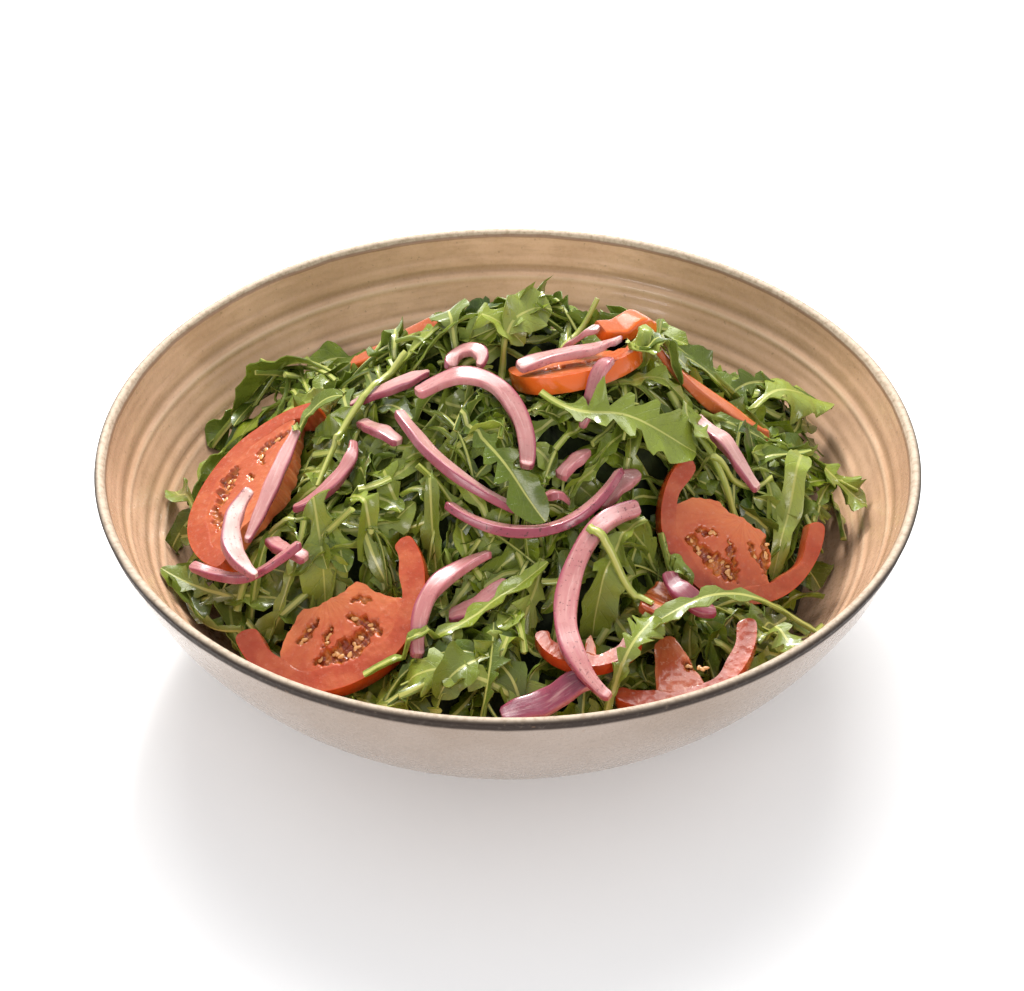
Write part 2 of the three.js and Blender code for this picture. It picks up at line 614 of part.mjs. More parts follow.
for (const spec of SLICES) {
  const mesh = add(spec.name, sliceSolid(spec), material(0xc8452c, 0.35));
  mesh.applyMatrix4(slicePose(spec));
  mesh.updateMatrixWorld(true);
  laid.push(toSolid(mesh.geometry.clone().applyMatrix4(mesh.matrixWorld)));
  raiseUnderSlice(spec, pile);
}
for (const [strips, color] of [[TOMATO_STRIPS, 0xd2552f], [ONION_STRIPS, 0xc58096]])
  for (const spec of strips) {
    const { geometry, solid } = placeStrip(spec, pile, laid);
    add(spec.name, geometry, material(color, 0.32));
    laid.push(solid);
  }
add("salad_heap", toGeometry(saladHeap(core, pile, laid.slice(1))), material(0x3f6b22, 0.45));

export default salad;
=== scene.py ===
import math

import bpy
import numpy as np
from mathutils import Matrix, Vector
from mathutils.bvhtree import BVHTree


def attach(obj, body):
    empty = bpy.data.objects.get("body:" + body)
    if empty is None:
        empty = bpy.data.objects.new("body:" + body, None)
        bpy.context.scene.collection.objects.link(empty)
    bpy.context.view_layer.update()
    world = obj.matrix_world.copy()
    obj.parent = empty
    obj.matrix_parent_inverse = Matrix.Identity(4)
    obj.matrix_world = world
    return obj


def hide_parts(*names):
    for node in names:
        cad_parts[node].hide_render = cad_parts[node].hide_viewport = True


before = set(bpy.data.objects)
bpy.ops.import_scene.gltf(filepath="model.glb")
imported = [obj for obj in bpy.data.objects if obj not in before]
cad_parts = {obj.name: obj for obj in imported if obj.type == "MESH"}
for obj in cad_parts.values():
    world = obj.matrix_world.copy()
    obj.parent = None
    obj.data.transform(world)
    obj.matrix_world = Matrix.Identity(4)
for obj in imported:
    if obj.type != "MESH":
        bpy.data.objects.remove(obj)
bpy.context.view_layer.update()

MM = 0.001

# ---- the view ------------------------------------------------------------------------------------

AIM = (1.3, 0, 55.2)
CAMERA_ELEVATION = 38
CAMERA_DISTANCE = 650
LENS = 70.45
SENSOR = 36
# Area lights: place and size in metres, power in watts and colour.
LIGHTS = [
    ("key", (0, 0.85, 1.35), (1.2, 0.9), 25, (1, 0.985, 0.96)),
    ("sheen", (-0.2, 0.95, 1.05), (0.22, 0.22), 19, (1, 0.99, 0.97)),
    ("left_panel", (-0.9, -0.95, 0.5), (0.4, 0.45), 5, (1, 0.93, 0.91)),
    ("right_panel", (0.75, -1.05, 0.5), (0.4, 0.45), 5, (1, 0.93, 0.91)),
]
LIGHTS_AIM = (0, 0, 0.05)
SKY_COLOUR = (0.93, 0.965, 1)
SKY_STRENGTH = 0.74
FLOOR_HALF = 6.0  # metres from the middle of the floor to its sides

# ---- the bowl ------------------------------------------------------------------------------------

# rise and round are the powers that shape the wall's curve; floor is the inside's lowest height.
BOWL = {
    "radius": 129.6,
    "height": 80,
    "foot_radius": 47,
    "foot_width": 5,
    "recess": 2,
    "lip": 1.55,
    "floor": 8,
    "rise": 1.4,
    "round": 3.1,
}
BOWL_SEGMENTS = 240
INNER_RADIUS = BOWL["radius"] - 2 * BOWL["lip"]
OUTSIDE_ROWS = 56
LIP_ROWS = 11
INSIDE_ROWS = 130
FOOT_HEIGHT = 3
LIP_START_OUTSIDE = 77.3  # height at which the wall begins to turn into the lip
LIP_START_INSIDE = 77.2
LIP_FADE = 1.2
WORN_LINE = 77.9  # height of the dark line outside, under the lip, where the glaze is worn off
RIM_LINE = 77.6  # height of the thin line inside
# Rings left by the potter's fingers inside: height, depth (a ridge is negative) and spread.
THROWING_RINGS = [
    (71.5, 0.18, 1.2),
    (66.0, 0.5, 1.2),
    (63.3, -0.45, 1.1),
    (57.5, 0.15, 1.3),
    (54.5, 0.4, 1.0),
    (52.4, -0.35, 0.8),
    (50.0, 0.35, 0.8),
    (48.0, -0.35, 0.8),
    (45.4, 0.3, 0.9),
    (41.5, -0.25, 1.0),
    (38.0, 0.25, 1.1),
    (33.5, -0.2, 1.2),
]

# ---- toppings: where each lies -------------------------------------------------------------------
# at: place seen from above. heading: direction from above. bend: how far the heading turns from end
# to end. height, tilt and facing: of a slice's upper face. In the slice's own plane: ring, the arc of
# wall; flesh, the part of it that flesh fills; edge, the free edge of that flesh from its start to its
# end. Each seed pocket is a depth and a chain of spots: angle, distance from the middle, half width.
# orange: how far the colour goes towards orange.

SLICES = [
    {
        "name": "tomato_slice_front_right", "at": (45.5, -69.5), "height": 60, "radius": 28,
        "thickness": 6.5, "tilt": 14, "facing": 250, "ring": (236, 364), "flesh": (262, 300), "wall": 5.5,
        "edge": [(-2.4, -3.8), (1, -2), (3.7, -2.6)],
        "pockets": [(1.6, (296, 15, 1.0), (305, 16.5, 1.6), (312, 17.5, 1.2))],
        "seeds": 5, "orange": 0.15, "grain": 1.0,
    },
    {
        "name": "tomato_slice_low", "at": (24, -71.5), "height": 65, "radius": 17.5,
        "thickness": 5, "tilt": 8, "facing": 270, "ring": (196, 335), "flesh": (262, 278), "wall": 5,
        "edge": [(-1.5, -2.3), (1.5, -2.3)],
        "pockets": [], "seeds": 0, "orange": 0.1, "grain": 0.6,
    },
    {
        "name": "tomato_slice_front_left", "at": (-54.3, -59.3), "height": 64.5, "radius": 30.8,
        "thickness": 7, "tilt": 29, "facing": 244, "ring": (198, 392), "flesh": (232, 350), "wall": 7,
        "edge": [
            (-14.6, -16), (-12.4, -12), (-9.6, -6.5), (-7.6, -4.4), (1.5, -2),
            (6, 1), (10, 2.6), (12.4, 1.8), (15, -1.6), (20, -3.4),
        ],
        "pockets": [
            (1.5, (250, 8, 0.6), (244, 11, 1.0), (242, 15, 1.1), (239, 17, 0.7)),
            (1.7, (277, 10.5, 0.5), (270, 14, 1.0), (267, 16.5, 0.5)),
            (1.3, (343, 9, 0.7), (346, 13, 0.9)),
            (1.7, (311, 11, 0.9), (316, 14, 1.3), (319, 19, 1.6), (319, 21, 1.0)),
            (2.2, (262, 21.5, 0.9), (272, 20, 1.9), (285, 19.5, 2.8), (297, 19.5, 2.7), (308, 19, 1.8)),
        ],
        "seeds": 20, "orange": 0.2, "grain": 0.25,
    },
    {
        "name": "tomato_slice_right", "at": (72, -36), "height": 74.5, "radius": 26.5,
        "thickness": 6.5, "tilt": 45, "facing": 288, "ring": (138, 364), "flesh": (174, 298), "wall": 5.2,
        "edge": [
            (-18.6, 3.4), (-15.8, 4.6), (-13.2, 5.2), (-8.4, 4), (-2.3, 0.6), (2.6, -1.2),
            (6.5, -3.5), (9, -7.1), (9.6, -10.6), (9.2, -15.4), (8.9, -17.8),
        ],
        "pockets": [
            (1.4, (202, 14.5, 0.8), (210, 11, 0.8), (213, 10, 0.4)),
            (
                1.8, (205, 18, 1.1), (213, 17.8, 1.0), (225, 17, 1.5),
                (238, 16.6, 2.1), (250, 17, 2.1), (263, 18, 1.6),
            ),
            (1.5, (243, 8.5, 0.6), (252, 10.8, 0.9), (262, 14, 0.9)),
            (1.3, (286, 7, 0.4), (290, 9.5, 0.6), (295, 13.5, 0.6), (298, 17, 0.4)),
            (1.7, (326, 10, 1.1), (309, 12, 1.1), (301, 15, 1.2), (299, 18, 0.8)),
        ],
        "seeds": 20, "orange": 0.25, "grain": 0.2,
    },
    {
        "name": "tomato_slice_left", "at": (-71.5, -22.5), "height": 78, "radius": 33.5,
        "thickness": 7, "tilt": 30, "facing": 190, "ring": (66, 236), "flesh": (80, 226), "wall": 6.5,
        "edge": [(3.1, 4.4), (1, 1.5), (1.6, -2), (-1.8, -5.1)],
        "pockets": [
            (2.0, (139, 23, 1.5), (147, 23, 2.4), (158, 22, 2.4), (172, 21.5, 1.3)),
            (1.2, (84, 23, 0.8), (102, 21.5, 1.2), (114, 20.5, 1.1), (117, 14, 0.6)),
            (1.7, (177, 24, 0.7), (190, 22.3, 1.5), (203, 22.5, 0.9)),
            (1.1, (140, 15, 0.8), (141, 13, 0.5)),
        ],
        "seeds": 16, "orange": 0.3, "grain": 0.45,
    },
    {
        "name": "tomato_slice_top", "at": (20.5, 5), "height": 107, "radius": 21,
        "thickness": 6, "tilt": 22, "facing": 125, "ring": (178, 362), "flesh": (186, 354), "wall": 4.5,
        "edge": [(-3, 1), (3, 1)],
        "pockets": [(1.0, (228, 12, 1.0), (242, 10, 1.5)), (1.0, (294, 10, 1.4), (308, 12, 1.0))],
        "seeds": 6, "orange": 0.8, "grain": 0.9,
    },
]
TOMATO_STRIPS = [
    {"name": "tomato_strip_top", "at": (37.5, 18), "heading": 42, "length": 25, "bend": 6,
     "width": 7, "thickness": 6.5, "orange": 0.9},
    {"name": "tomato_strip_back_right", "at": (62.5, 6.5), "heading": 11, "length": 44, "bend": -4,
     "width": 7, "thickness": 6, "orange": 0.95},
    {"name": "tomato_strip_back_left", "at": (-34, 38), "heading": -20, "length": 40, "bend": 12,
     "width": 6, "thickness": 6, "orange": 0.6},
    {"name": "tomato_core_piece", "at": (45.7, -64.3), "heading": 68, "length": 17.8, "bend": 0,
     "width": 11, "thickness": 5, "orange": 0.1},
]
# pink: from near white (0) through pink (0.5) to purple (1). specks: dark pepper specks.
ONION_STRIPS = [
    ("onion_skin_petal", (11.3, -97), 12, 27, -12, 8, 2.6, 1.0, 0.2),
    ("onion_under_slice", (52.9, -64.5), -37, 18.3, 78, 6, 3, 0.85, 0.1),
    ("onion_broad_middle", (33.4, -35.9), 36, 15, -17, 6, 3, 0.45, 0.3),
    ("onion_dark_middle", (14.8, -41.6), 8, 7.7, -11, 4, 3, 0.7, 0.1),
    ("onion_short_middle", (19.9, -33.3), 42, 12.2, -10, 4.5, 3, 0.55, 0.2),
    ("onion_behind_core", (26.4, -18.6), 47, 13.5, -19, 4.5, 3, 0.7, 0.3),
    ("onion_front_petal", (-8.1, -66.5), 20, 18.7, 43, 6, 3, 0.5, 0.2),
    ("onion_front_arc", (-21.3, -64.7), -127, 39.2, 90, 5, 3.4, 0.6, 0.2),
    ("onion_left_stub", (-66.9, -47.8), -49, 18.4, 30, 4.5, 3, 0.45, 0.1),
    ("onion_thin_crescent", (-78.8, -56.5), -7, 36, 64, 4.2, 3, 0.55, 0.9),
    ("onion_right_straight", (67, -15.5), -50, 28, 24, 4.6, 3.2, 0.3, 0.2),
    ("onion_inner_left", (-72, -26.4), -108, 40.6, -3, 4.2, 3.2, 0.4, 0.1),
    ("onion_outer_left", (-82.9, -47.2), -82, 35.2, 94, 5.4, 3.4, 0.2, 0.6),
    ("onion_hook", (-52, -26), -133, 30, -110, 4.2, 3.2, 0.6, 0.1),
    ("onion_cluster_low", (-39.9, -14.2), -53, 21.1, 14, 5, 3, 0.35, 0.1),
    ("onion_cluster_high", (-37, 0.2), -10, 25.7, 15, 5, 3.2, 0.35, 0.1),
    ("onion_small_loop", (-11.8, 3.7), -11, 19.9, -236, 4.2, 3, 0.4, 0.1),
    ("onion_crescent", (9.6, -51.9), 7, 60.6, 106, 4.4, 3.4, 0.5, 0.9),
    ("onion_long_front", (17.2, -71.5), -100, 71, 120, 6, 3.4, 0.5, 0.7),
    ("onion_diagonal", (-18.7, -33), -42, 51.1, 49, 4.2, 3.4, 0.35, 0.1),
    ("onion_arch", (-3.3, -13.3), -37, 51.9, -128, 5.5, 3.4, 0.45, 0.2),
    ("onion_broad_top", (18.7, -2.9), -5, 32.6, -74, 6, 3.2, 0.35, 0.4),
    ("onion_pale_top", (21.5, 7), -33, 15, 0, 4.6, 3, 0.25, 0.1),
]
ONION_KEYS = ("name", "at", "heading", "length", "bend", "width", "thickness", "pink", "specks")

# ---- leaves --------------------------------------------------------------------------------------
# The leaves that show most: kind, at, heading, length, width, bend, how far the middle and the tip
# stand off what they lie on, fold of the halves, roll, paleness from 0 to 1 (partly the leaf's own
# paler green and partly a painted sheen), and whether the leaf lies over the toppings.

LEAVES = [
    ("stem", (-48, -5), -126, 46, 2.6, 36, 5, 2, 0, 0, 0.8, True),
    ("lobed", (-17, 12), 6, 44, 12, -16, 7, 7, 22, 0, 0.75, False),
    ("young", (40, -4), 40, 25, 12, -8, 6, 6, 10, 0, 1.0, True),
    ("lobed", (-4, -34), -52, 46, 13, 14, 3, 1, 10, 0, 0.05, True),
    ("strap", (-22, -46), -83, 36, 8.5, 6, 5, 2, 14, 0, 0.45, False),
    ("lobed", (33, -26), -6, 48, 19, 30, 4, 5, 14, 0, 0.4, True),
    ("young", (55, -16), -60, 20, 12, 150, 5, 3, 20, 0, 0.45, True),
    ("lobed", (48, -9), 12, 38, 15, 40, 6, 4, 16, 0, 0.75, False),
    ("young", (91, 32), 38, 38, 22, -20, 6, 6, 14, -14, 0.7, False),
    ("young", (88, 12), -8, 34, 16, -24, 5, 3, 16, 0, 0.3, False),
    ("strap", (89, -20), -107, 46, 8, -10, 6, 1, 18, 0, 0.8, False),
    ("lobed", (102, -2), -30, 28, 15, 60, 4, 4, 10, 0, 0.3, False),
    ("lobed", (-18, -90), 176, 40, 18, 12, 5, 3, 6, 0, 0.45, False),
    ("lobed", (-14, -74), 26, 60, 8, 16, 3, 3, 16, 0, 0.4, True),
    ("lobed", (66, -66), -160, 62, 8, 18, 8, 2, 16, 0, 0.55, True),
    ("stem", (69, -23), 6, 32, 2.6, 24, 4, 2, 0, 0, 0.7, False),
    ("stem", (33, -62.5), -39, 24, 2.8, 2, 3, 2, 0, 0, 0.95, True),
    ("stem", (-69, -34), -4, 24, 2.2, 10, 4, 4, 0, 0, 0.7, False),
    ("young", (-73, 44), 166, 40, 20, 40, 6, 5, 18, 10, 0.15, False),
    ("young", (-104, -2), 118, 27, 11, -10, 3, 5, 24, 0, 0.5, False),
    ("lobed", (-94, -41), 148, 32, 9, 20, 4, 3, 16, 0, 0.4, False),
    ("lobed", (-58, 8), -80, 30, 12, -70, 6, 4, 20, 0, 0.4, False),
    ("lobed", (-58, -40), -70, 34, 16, -40, 5, 2, 14, 0, 0.5, False),
    ("lobed", (-40, -46), -62, 36, 16, -20, 5, 2, 24, 0, 0.35, False),
    ("lobed", (33, -55), -128, 34, 14, 28, 4, 2, 20, 0, 0.5, False),
    ("young", (-63, 2), 40, 24, 7, -150, 3, 2, 20, 0, 0.35, True),
    ("young", (50, -52), -50, 16, 9, 40, 4, 3, 20, 0, 0.35, True),
    ("young", (46, -2), 20, 16, 9, -50, 5, 4, 10, 0, 0.15, True),
    ("young", (53, 8), 30, 12, 7, 40, 6, 4, 10, 0, 0.3, True),
    ("stem", (62, -22), -44, 36, 2.8, 10, 4, 2, 0, 0, 0.7, False),
    ("stem", (-40, 30), 60, 20, 2.2, 0, 6, 20, 0, 0, 0.5, False),
    ("young", (1, -78), 74, 26, 13, 50, 5, 5, 20, 0, 0.4, False),
    ("young", (-12, -88), -140, 24, 14, 36, 4, 3, 20, 0, 0.4, False),
    ("lobed", (80, -74), -60, 26, 12, -40, 4, 1, 14, 0, 0.5, False),
    ("lobed", (36, -84), 54, 24, 12, 6, 5, 3, 14, 0, 0.4, True),
    ("young", (-18, 14), 100, 30, 13, -40, 5, 7, 16, 0, 0.5, False),
    ("young", (2, 16), 60, 34, 15, -60, 5, 5, 14, 0, 0.7, False),
    ("young", (-36, 26), 96, 26, 9, 20, 6, 10, 20, 0, 0.4, False),
    ("stem", (21, 20), 42, 20, 2.4, 0, 8, 18, 0, 0, 1.0, False),
]
LEAF_KEYS = (
    "kind", "at", "heading", "length", "width", "bend", "rise", "tip", "fold", "roll", "pale", "over",
)
# The other leaves fall on the heap along a spiral, each a random shape of its kind.
FILLER_TRIES = 1300
FILLER_STRIDE = 487  # places skipped on the spiral from one leaf to the next
FILLER_REACH = 110  # of the spiral from the bowl's axis
FILLER_SIZE = (1.05, 0.70)  # of the first and the last leaf
FILLER_REST = 0.86  # share of a leaf's underside that stays above the pile
PATCH_TRIES = 450  # small leaves for the places that are still open
PATCH_DEPTH = 6  # how far below the outline the pile is in such a place
PATCH_SIZE = 0.6
PATCH_REACH = 102
PATCH_REST = 0.5
GOLDEN_ANGLE = math.radians(137.508)
FILLER_SHARES = {"lobed": 0.45, "strap": 0.18, "young": 0.22, "stem": 0.15}
FILLER_SIZES = {  # least and most length, then width
    "lobed": (36, 62, 11, 20),
    "strap": (32, 56, 5, 9),
    "young": (24, 42, 9, 15),
    "stem": (24, 50, 1.8, 2.6),
}
CORE_DEPTH = 12  # of the hidden core below the leaves' outline
CORE_RINGS, CORE_SIDES = 40, 96
HEAP_EDGE = 46  # height at which the heap meets the bowl
TOPMOST = 120.3  # height that no leaf passes
LEAF_ROWS = 31  # points along a leaf, and their places across it from edge to edge
LEAF_COLUMNS = np.array([-1, -0.7, -0.4, -0.15, 0, 0.15, 0.4, 0.7, 1])
FILLER_ROWS = {"lobed": 25, "strap": 19, "young": 21, "stem": 19}
FILLER_COLUMNS = np.array([-1, -0.6, -0.18, 0, 0.18, 0.6, 1])
LEAF_EDGE = 0.35  # thickness of the blade
MIDRIB = 1.2  # half width of a midrib

# ---- random draws --------------------------------------------------------------------------------

TOMATO_DRAWS = 5
ONION_DRAWS = 8
LEAF_DRAWS = 20

# ---- heights over a square grid ------------------------------------------------------------------

CELL = 1.0
HALF = 132
SIDES = ((1, 0), (-1, 0), (0, 1), (0, -1))
CORNERS = ((1, 1), (1, -1), (-1, 1), (-1, -1))
AXIS = np.arange(-HALF, HALF + CELL, CELL)
COUNT = len(AXIS)
GRID_X, GRID_Y = np.meshgrid(AXIS, AXIS, indexing="ij")


def cell_of(value):
    """Number of the cell at a coordinate."""
    return np.clip(np.rint((np.asarray(value) + HALF) / CELL).astype(int), 0, COUNT - 1)


def sample(field, x, y):
    """The field's value at each point, between the cells around it."""
    i = np.clip((np.asarray(x) + HALF) / CELL, 0, COUNT - 1.001)
    j = np.clip((np.asarray(y) + HALF) / CELL, 0, COUNT - 1.001)
    a, b = i.astype(int), j.astype(int)
    s, t = i - a, j - b
    low = field[a, b] * (1 - t) + field[a, b + 1] * t
    high = field[a + 1, b] * (1 - t) + field[a + 1, b + 1] * t
    return low * (1 - s) + high * s


def shifted(field, di, dj, outside):
    """The field moved by whole cells."""
    moved = np.full_like(field, outside)
    rows = slice(max(di, 0), COUNT + min(di, 0))
    columns = slice(max(dj, 0), COUNT + min(dj, 0))
    from_rows = slice(max(-di, 0), COUNT + min(-di, 0))
    from_columns = slice(max(-dj, 0), COUNT + min(-dj, 0))
    moved[rows, columns] = field[from_rows, from_columns]
    return moved


def spread_low(field, slope, rounds):
    """The highest field that rises no faster than slope and stays under this one."""
    for _ in range(rounds):
        for di, dj in SIDES + CORNERS:
            step = slope * CELL * math.hypot(di, dj)
            field = np.minimum(field, shifted(field, di, dj, np.inf) + step)
    return field


def blurred(field, rounds):
    """The field, each cell averaged with its neighbours so many times over."""
    for _ in range(rounds):
        total = field
        for di, dj in SIDES:
            total = total + shifted(field, di, dj, 0)
        field = total / (1 + len(SIDES))
    return field


# ---- the bowl's curves ---------------------------------------------------------------------------


def bowl_outside(z):
    """Distance of the outside from the axis at a height."""
    depth = (1 - np.asarray(z) / BOWL["height"]) ** BOWL["rise"]
    return BOWL["radius"] * (1 - depth) ** (1 / BOWL["round"])


def bowl_inside(r):
    """Height of the inside at a distance from the axis."""
    share = np.minimum(np.asarray(r) / INNER_RADIUS, 1) ** BOWL["round"]
    return BOWL["floor"] + (BOWL["height"] - BOWL["floor"]) * (1 - (1 - share) ** (1 / BOWL["rise"]))


def inside_reach(z):
    """Distance of the inside from the axis at a height."""
    depth = np.clip(1 - (np.asarray(z) - BOWL["floor"]) / (BOWL["height"] - BOWL["floor"]), 0, 1)
    return INNER_RADIUS * (1 - depth ** BOWL["rise"]) ** (1 / BOWL["round"])


# ---- meshes --------------------------------------------------------------------------------------

HIGH_ABOVE = 400  # where rays that look for a node's surface start
FAR_BELOW = -50


def placed(name, data):
    """A new object in the scene."""
    thing = bpy.data.objects.new(name, data)
    bpy.context.scene.collection.objects.link(thing)
    return thing


class Parts:
    """Points, faces and per-point values of a mesh that is put together bit by bit."""

    def __init__(self):
        self.points, self.faces, self.values, self.count = [], [], {}, 0

    def add(self, points, faces, **values):
        self.points.append(np.asarray(points, float))
        self.faces += [tuple(k + self.count for k in face) for face in faces]
        for name, value in values.items():
            self.values.setdefault(name, []).append(np.broadcast_to(value, (len(points),)))
        self.count += len(points)

    def piece(self, name, material, *nodes, crease=50):
        mesh = bpy.data.meshes.new(name)
        points = np.concatenate(self.points) * MM
        mesh.from_pydata(points.tolist(), [], self.faces)
        for key, value in self.values.items():
            layer = mesh.attributes.new(key, "FLOAT", "POINT")
            layer.data.foreach_set("value", np.concatenate(value).astype(np.float32))
        mesh.shade_smooth()
        mesh.set_sharp_from_angle(angle=math.radians(crease))
        mesh.materials.append(material)
        piece = placed(name, mesh)
        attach(piece, "root")
        if nodes:
            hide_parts(*nodes)


def grid_faces(rows, columns, start=0, closed=False):
    """Faces of a lattice of points, with the columns joined in a ring if closed."""
    faces = []
    for i in range(rows - 1):
        for j in range(columns if closed else columns - 1):
            k = (j + 1) % columns
            a, b = start + i * columns, start + (i + 1) * columns
            faces.append((a + j, b + j, b + k, a + k))
    return faces


def tube_faces(rows, columns):
    """Faces of a row of rings, with both ends closed."""
    last = (rows - 1) * columns
    faces = grid_faces(rows, columns, closed=True)
    faces.append(tuple(range(columns)))
    faces.append(tuple(range(last + columns - 1, last - 1, -1)))
    return faces


def closed_sheet(top, bottom):
    """Points and faces of a solid between two lattices of the same size."""
    rows, columns = top.shape[:2]
    size = rows * columns
    points = np.concatenate([top.reshape(-1, 3), bottom.reshape(-1, 3)])
    faces = grid_faces(rows, columns)
    faces += [tuple(k + size for k in reversed(face)) for face in grid_faces(rows, columns)]
    border = [(i, 0) for i in range(rows)]
    border += [(rows - 1, j) for j in range(1, columns)]
    border += [(i, columns - 1) for i in range(rows - 2, -1, -1)]
    border += [(0, j) for j in range(columns - 2, 0, -1)]
    for (i, j), (p, q) in zip(border, border[1:] + border[:1]):
        a, b = i * columns + j, p * columns + q
        faces.append((b, a, a + size, b + size))
    return points, faces


def smooth_step(share, start, end):
    """From 0 at the start to 1 at the end, smoothly."""
    t = np.clip((share - start) / (end - start), 0, 1)
    return t * t * (3 - 2 * t)


def unit(vectors):
    return vectors / np.maximum(np.linalg.norm(vectors, axis=-1, keepdims=True), 1e-9)


def surface_of(node):
    """The node's faces, to be met by rays."""
    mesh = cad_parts[node].data
    points = [v.co / MM for v in mesh.vertices]
    return BVHTree.FromPolygons(points, [p.vertices[:] for p in mesh.polygons])


def height_at(tree, x, y, above=True):
    """Height of the top or the underside at a point, or nan beside the node."""
    start = Vector((x, y, HIGH_ABOVE if above else FAR_BELOW))
    hit = tree.ray_cast(start, Vector((0, 0, -1 if above else 1)))[0]
    return math.nan if hit is None else hit.z


def bridged(values):
    """The row of values with its gaps filled from both sides."""
    values = np.asarray(values, float)
    known = ~np.isnan(values)
    places = np.arange(len(values))
    return np.interp(places, places[known], values[known])


def evened(values, reach):
    """The row of values, each averaged with those within reach of it."""
    padded = np.pad(values, reach, mode="reflect", reflect_type="odd")
    return np.convolve(padded, np.ones(2 * reach + 1) / (2 * reach + 1), mode="valid")


# ---- materials -----------------------------------------------------------------------------------


class Look:
    """A material's nodes, put together with short calls."""

    def __init__(self, name, **surface):
        self.material = bpy.data.materials.new(name)
        self.material.use_nodes = True
        self.nodes = self.material.node_tree.nodes
        self.links = self.material.node_tree.links
        self.shader = self.nodes["Principled BSDF"]
        for key, value in surface.items():
            socket = key.replace("_", " ").title().replace("Ior", "IOR")
            self.shader.inputs[socket].default_value = value
        self.place = self.add("ShaderNodeTexCoord").outputs["Object"]

    def add(self, kind, **settings):
        node = self.nodes.new(kind)
        for key, value in settings.items():
            setattr(node, key, value)
        return node

    def join(self, value, socket):
        if isinstance(value, bpy.types.NodeSocket):
            self.links.new(value, socket)
        else:
            socket.default_value = value

    def math(self, operation, *values):
        node = self.add("ShaderNodeMath", operation=operation)
        for value, socket in zip(values, node.inputs):
            self.join(value, socket)
        return node.outputs[0]

    def times(self, a, b):
        return self.math("MULTIPLY", a, b)

    def plus(self, a, b):
        return self.math("ADD", a, b)

    def value(self, name):
        """The value that the mesh carries for each point."""
        return self.add("ShaderNodeAttribute", attribute_name=name).outputs["Fac"]

    def height(self):
        """Height above the bowl's foot in millimetres."""
        node = self.add("ShaderNodeSeparateXYZ")
        self.links.new(self.place, node.inputs[0])
        return self.math("DIVIDE", node.outputs[2], MM)

    def noise(self, size, detail=2.0, roughness=0.5, place=None):
        """Noise from 0 to 1 with lumps of about size millimetres."""
        node = self.add("ShaderNodeTexNoise")
        self.join(place or self.place, node.inputs["Vector"])
        node.inputs["Scale"].default_value = 0.5 / (size * MM)
        node.inputs["Detail"].default_value = detail
        node.inputs["Roughness"].default_value = roughness
        return node.outputs["Fac"]

    def stretched(self, x, y, z):
        node = self.add("ShaderNodeMapping")
        self.links.new(self.place, node.inputs[0])
        node.inputs["Scale"].default_value = (x, y, z)
        return node.outputs[0]

    def ease(self, value, low, high, start=0.0, end=1.0):
        """From start to end, smoothly, as the value goes from low to high."""
        node = self.add("ShaderNodeMapRange", interpolation_type="SMOOTHSTEP")
        ends = {"From Min": low, "From Max": high, "To Min": start, "To Max": end}
        for key, number in ends.items():
            node.inputs[key].default_value = number
        self.join(value, node.inputs["Value"])
        return node.outputs["Result"]

    def band(self, value, middle, half, soft):
        """1 within half of the middle, and 0 beyond a soft edge."""
        away = self.math("ABSOLUTE", self.math("SUBTRACT", value, middle))
        return self.ease(away, half, half + soft, 1, 0)

    def mix(self, share, a, b):
        """The first colour where the share is 0, and the second where it is 1."""
        node = self.add("ShaderNodeMix", data_type="RGBA")
        self.join(share, node.inputs[0])
        for colour, socket in ((a, node.inputs[6]), (b, node.inputs[7])):
            self.join(colour if isinstance(colour, bpy.types.NodeSocket) else (*colour, 1), socket)
        return node.outputs[2]

    def bump(self, height, strength, distance):
        node = self.add("ShaderNodeBump")
        node.inputs["Strength"].default_value = strength
        node.inputs["Distance"].default_value = distance * MM
        self.join(height, node.inputs["Height"])
        self.links.new(node.outputs[0], self.shader.inputs["Normal"])
        return node.outputs[0]

    def colour(self, value):
        self.join(value, self.shader.inputs["Base Color"])

    def roughness(self, value):
        self.join(value, self.shader.inputs["Roughness"])


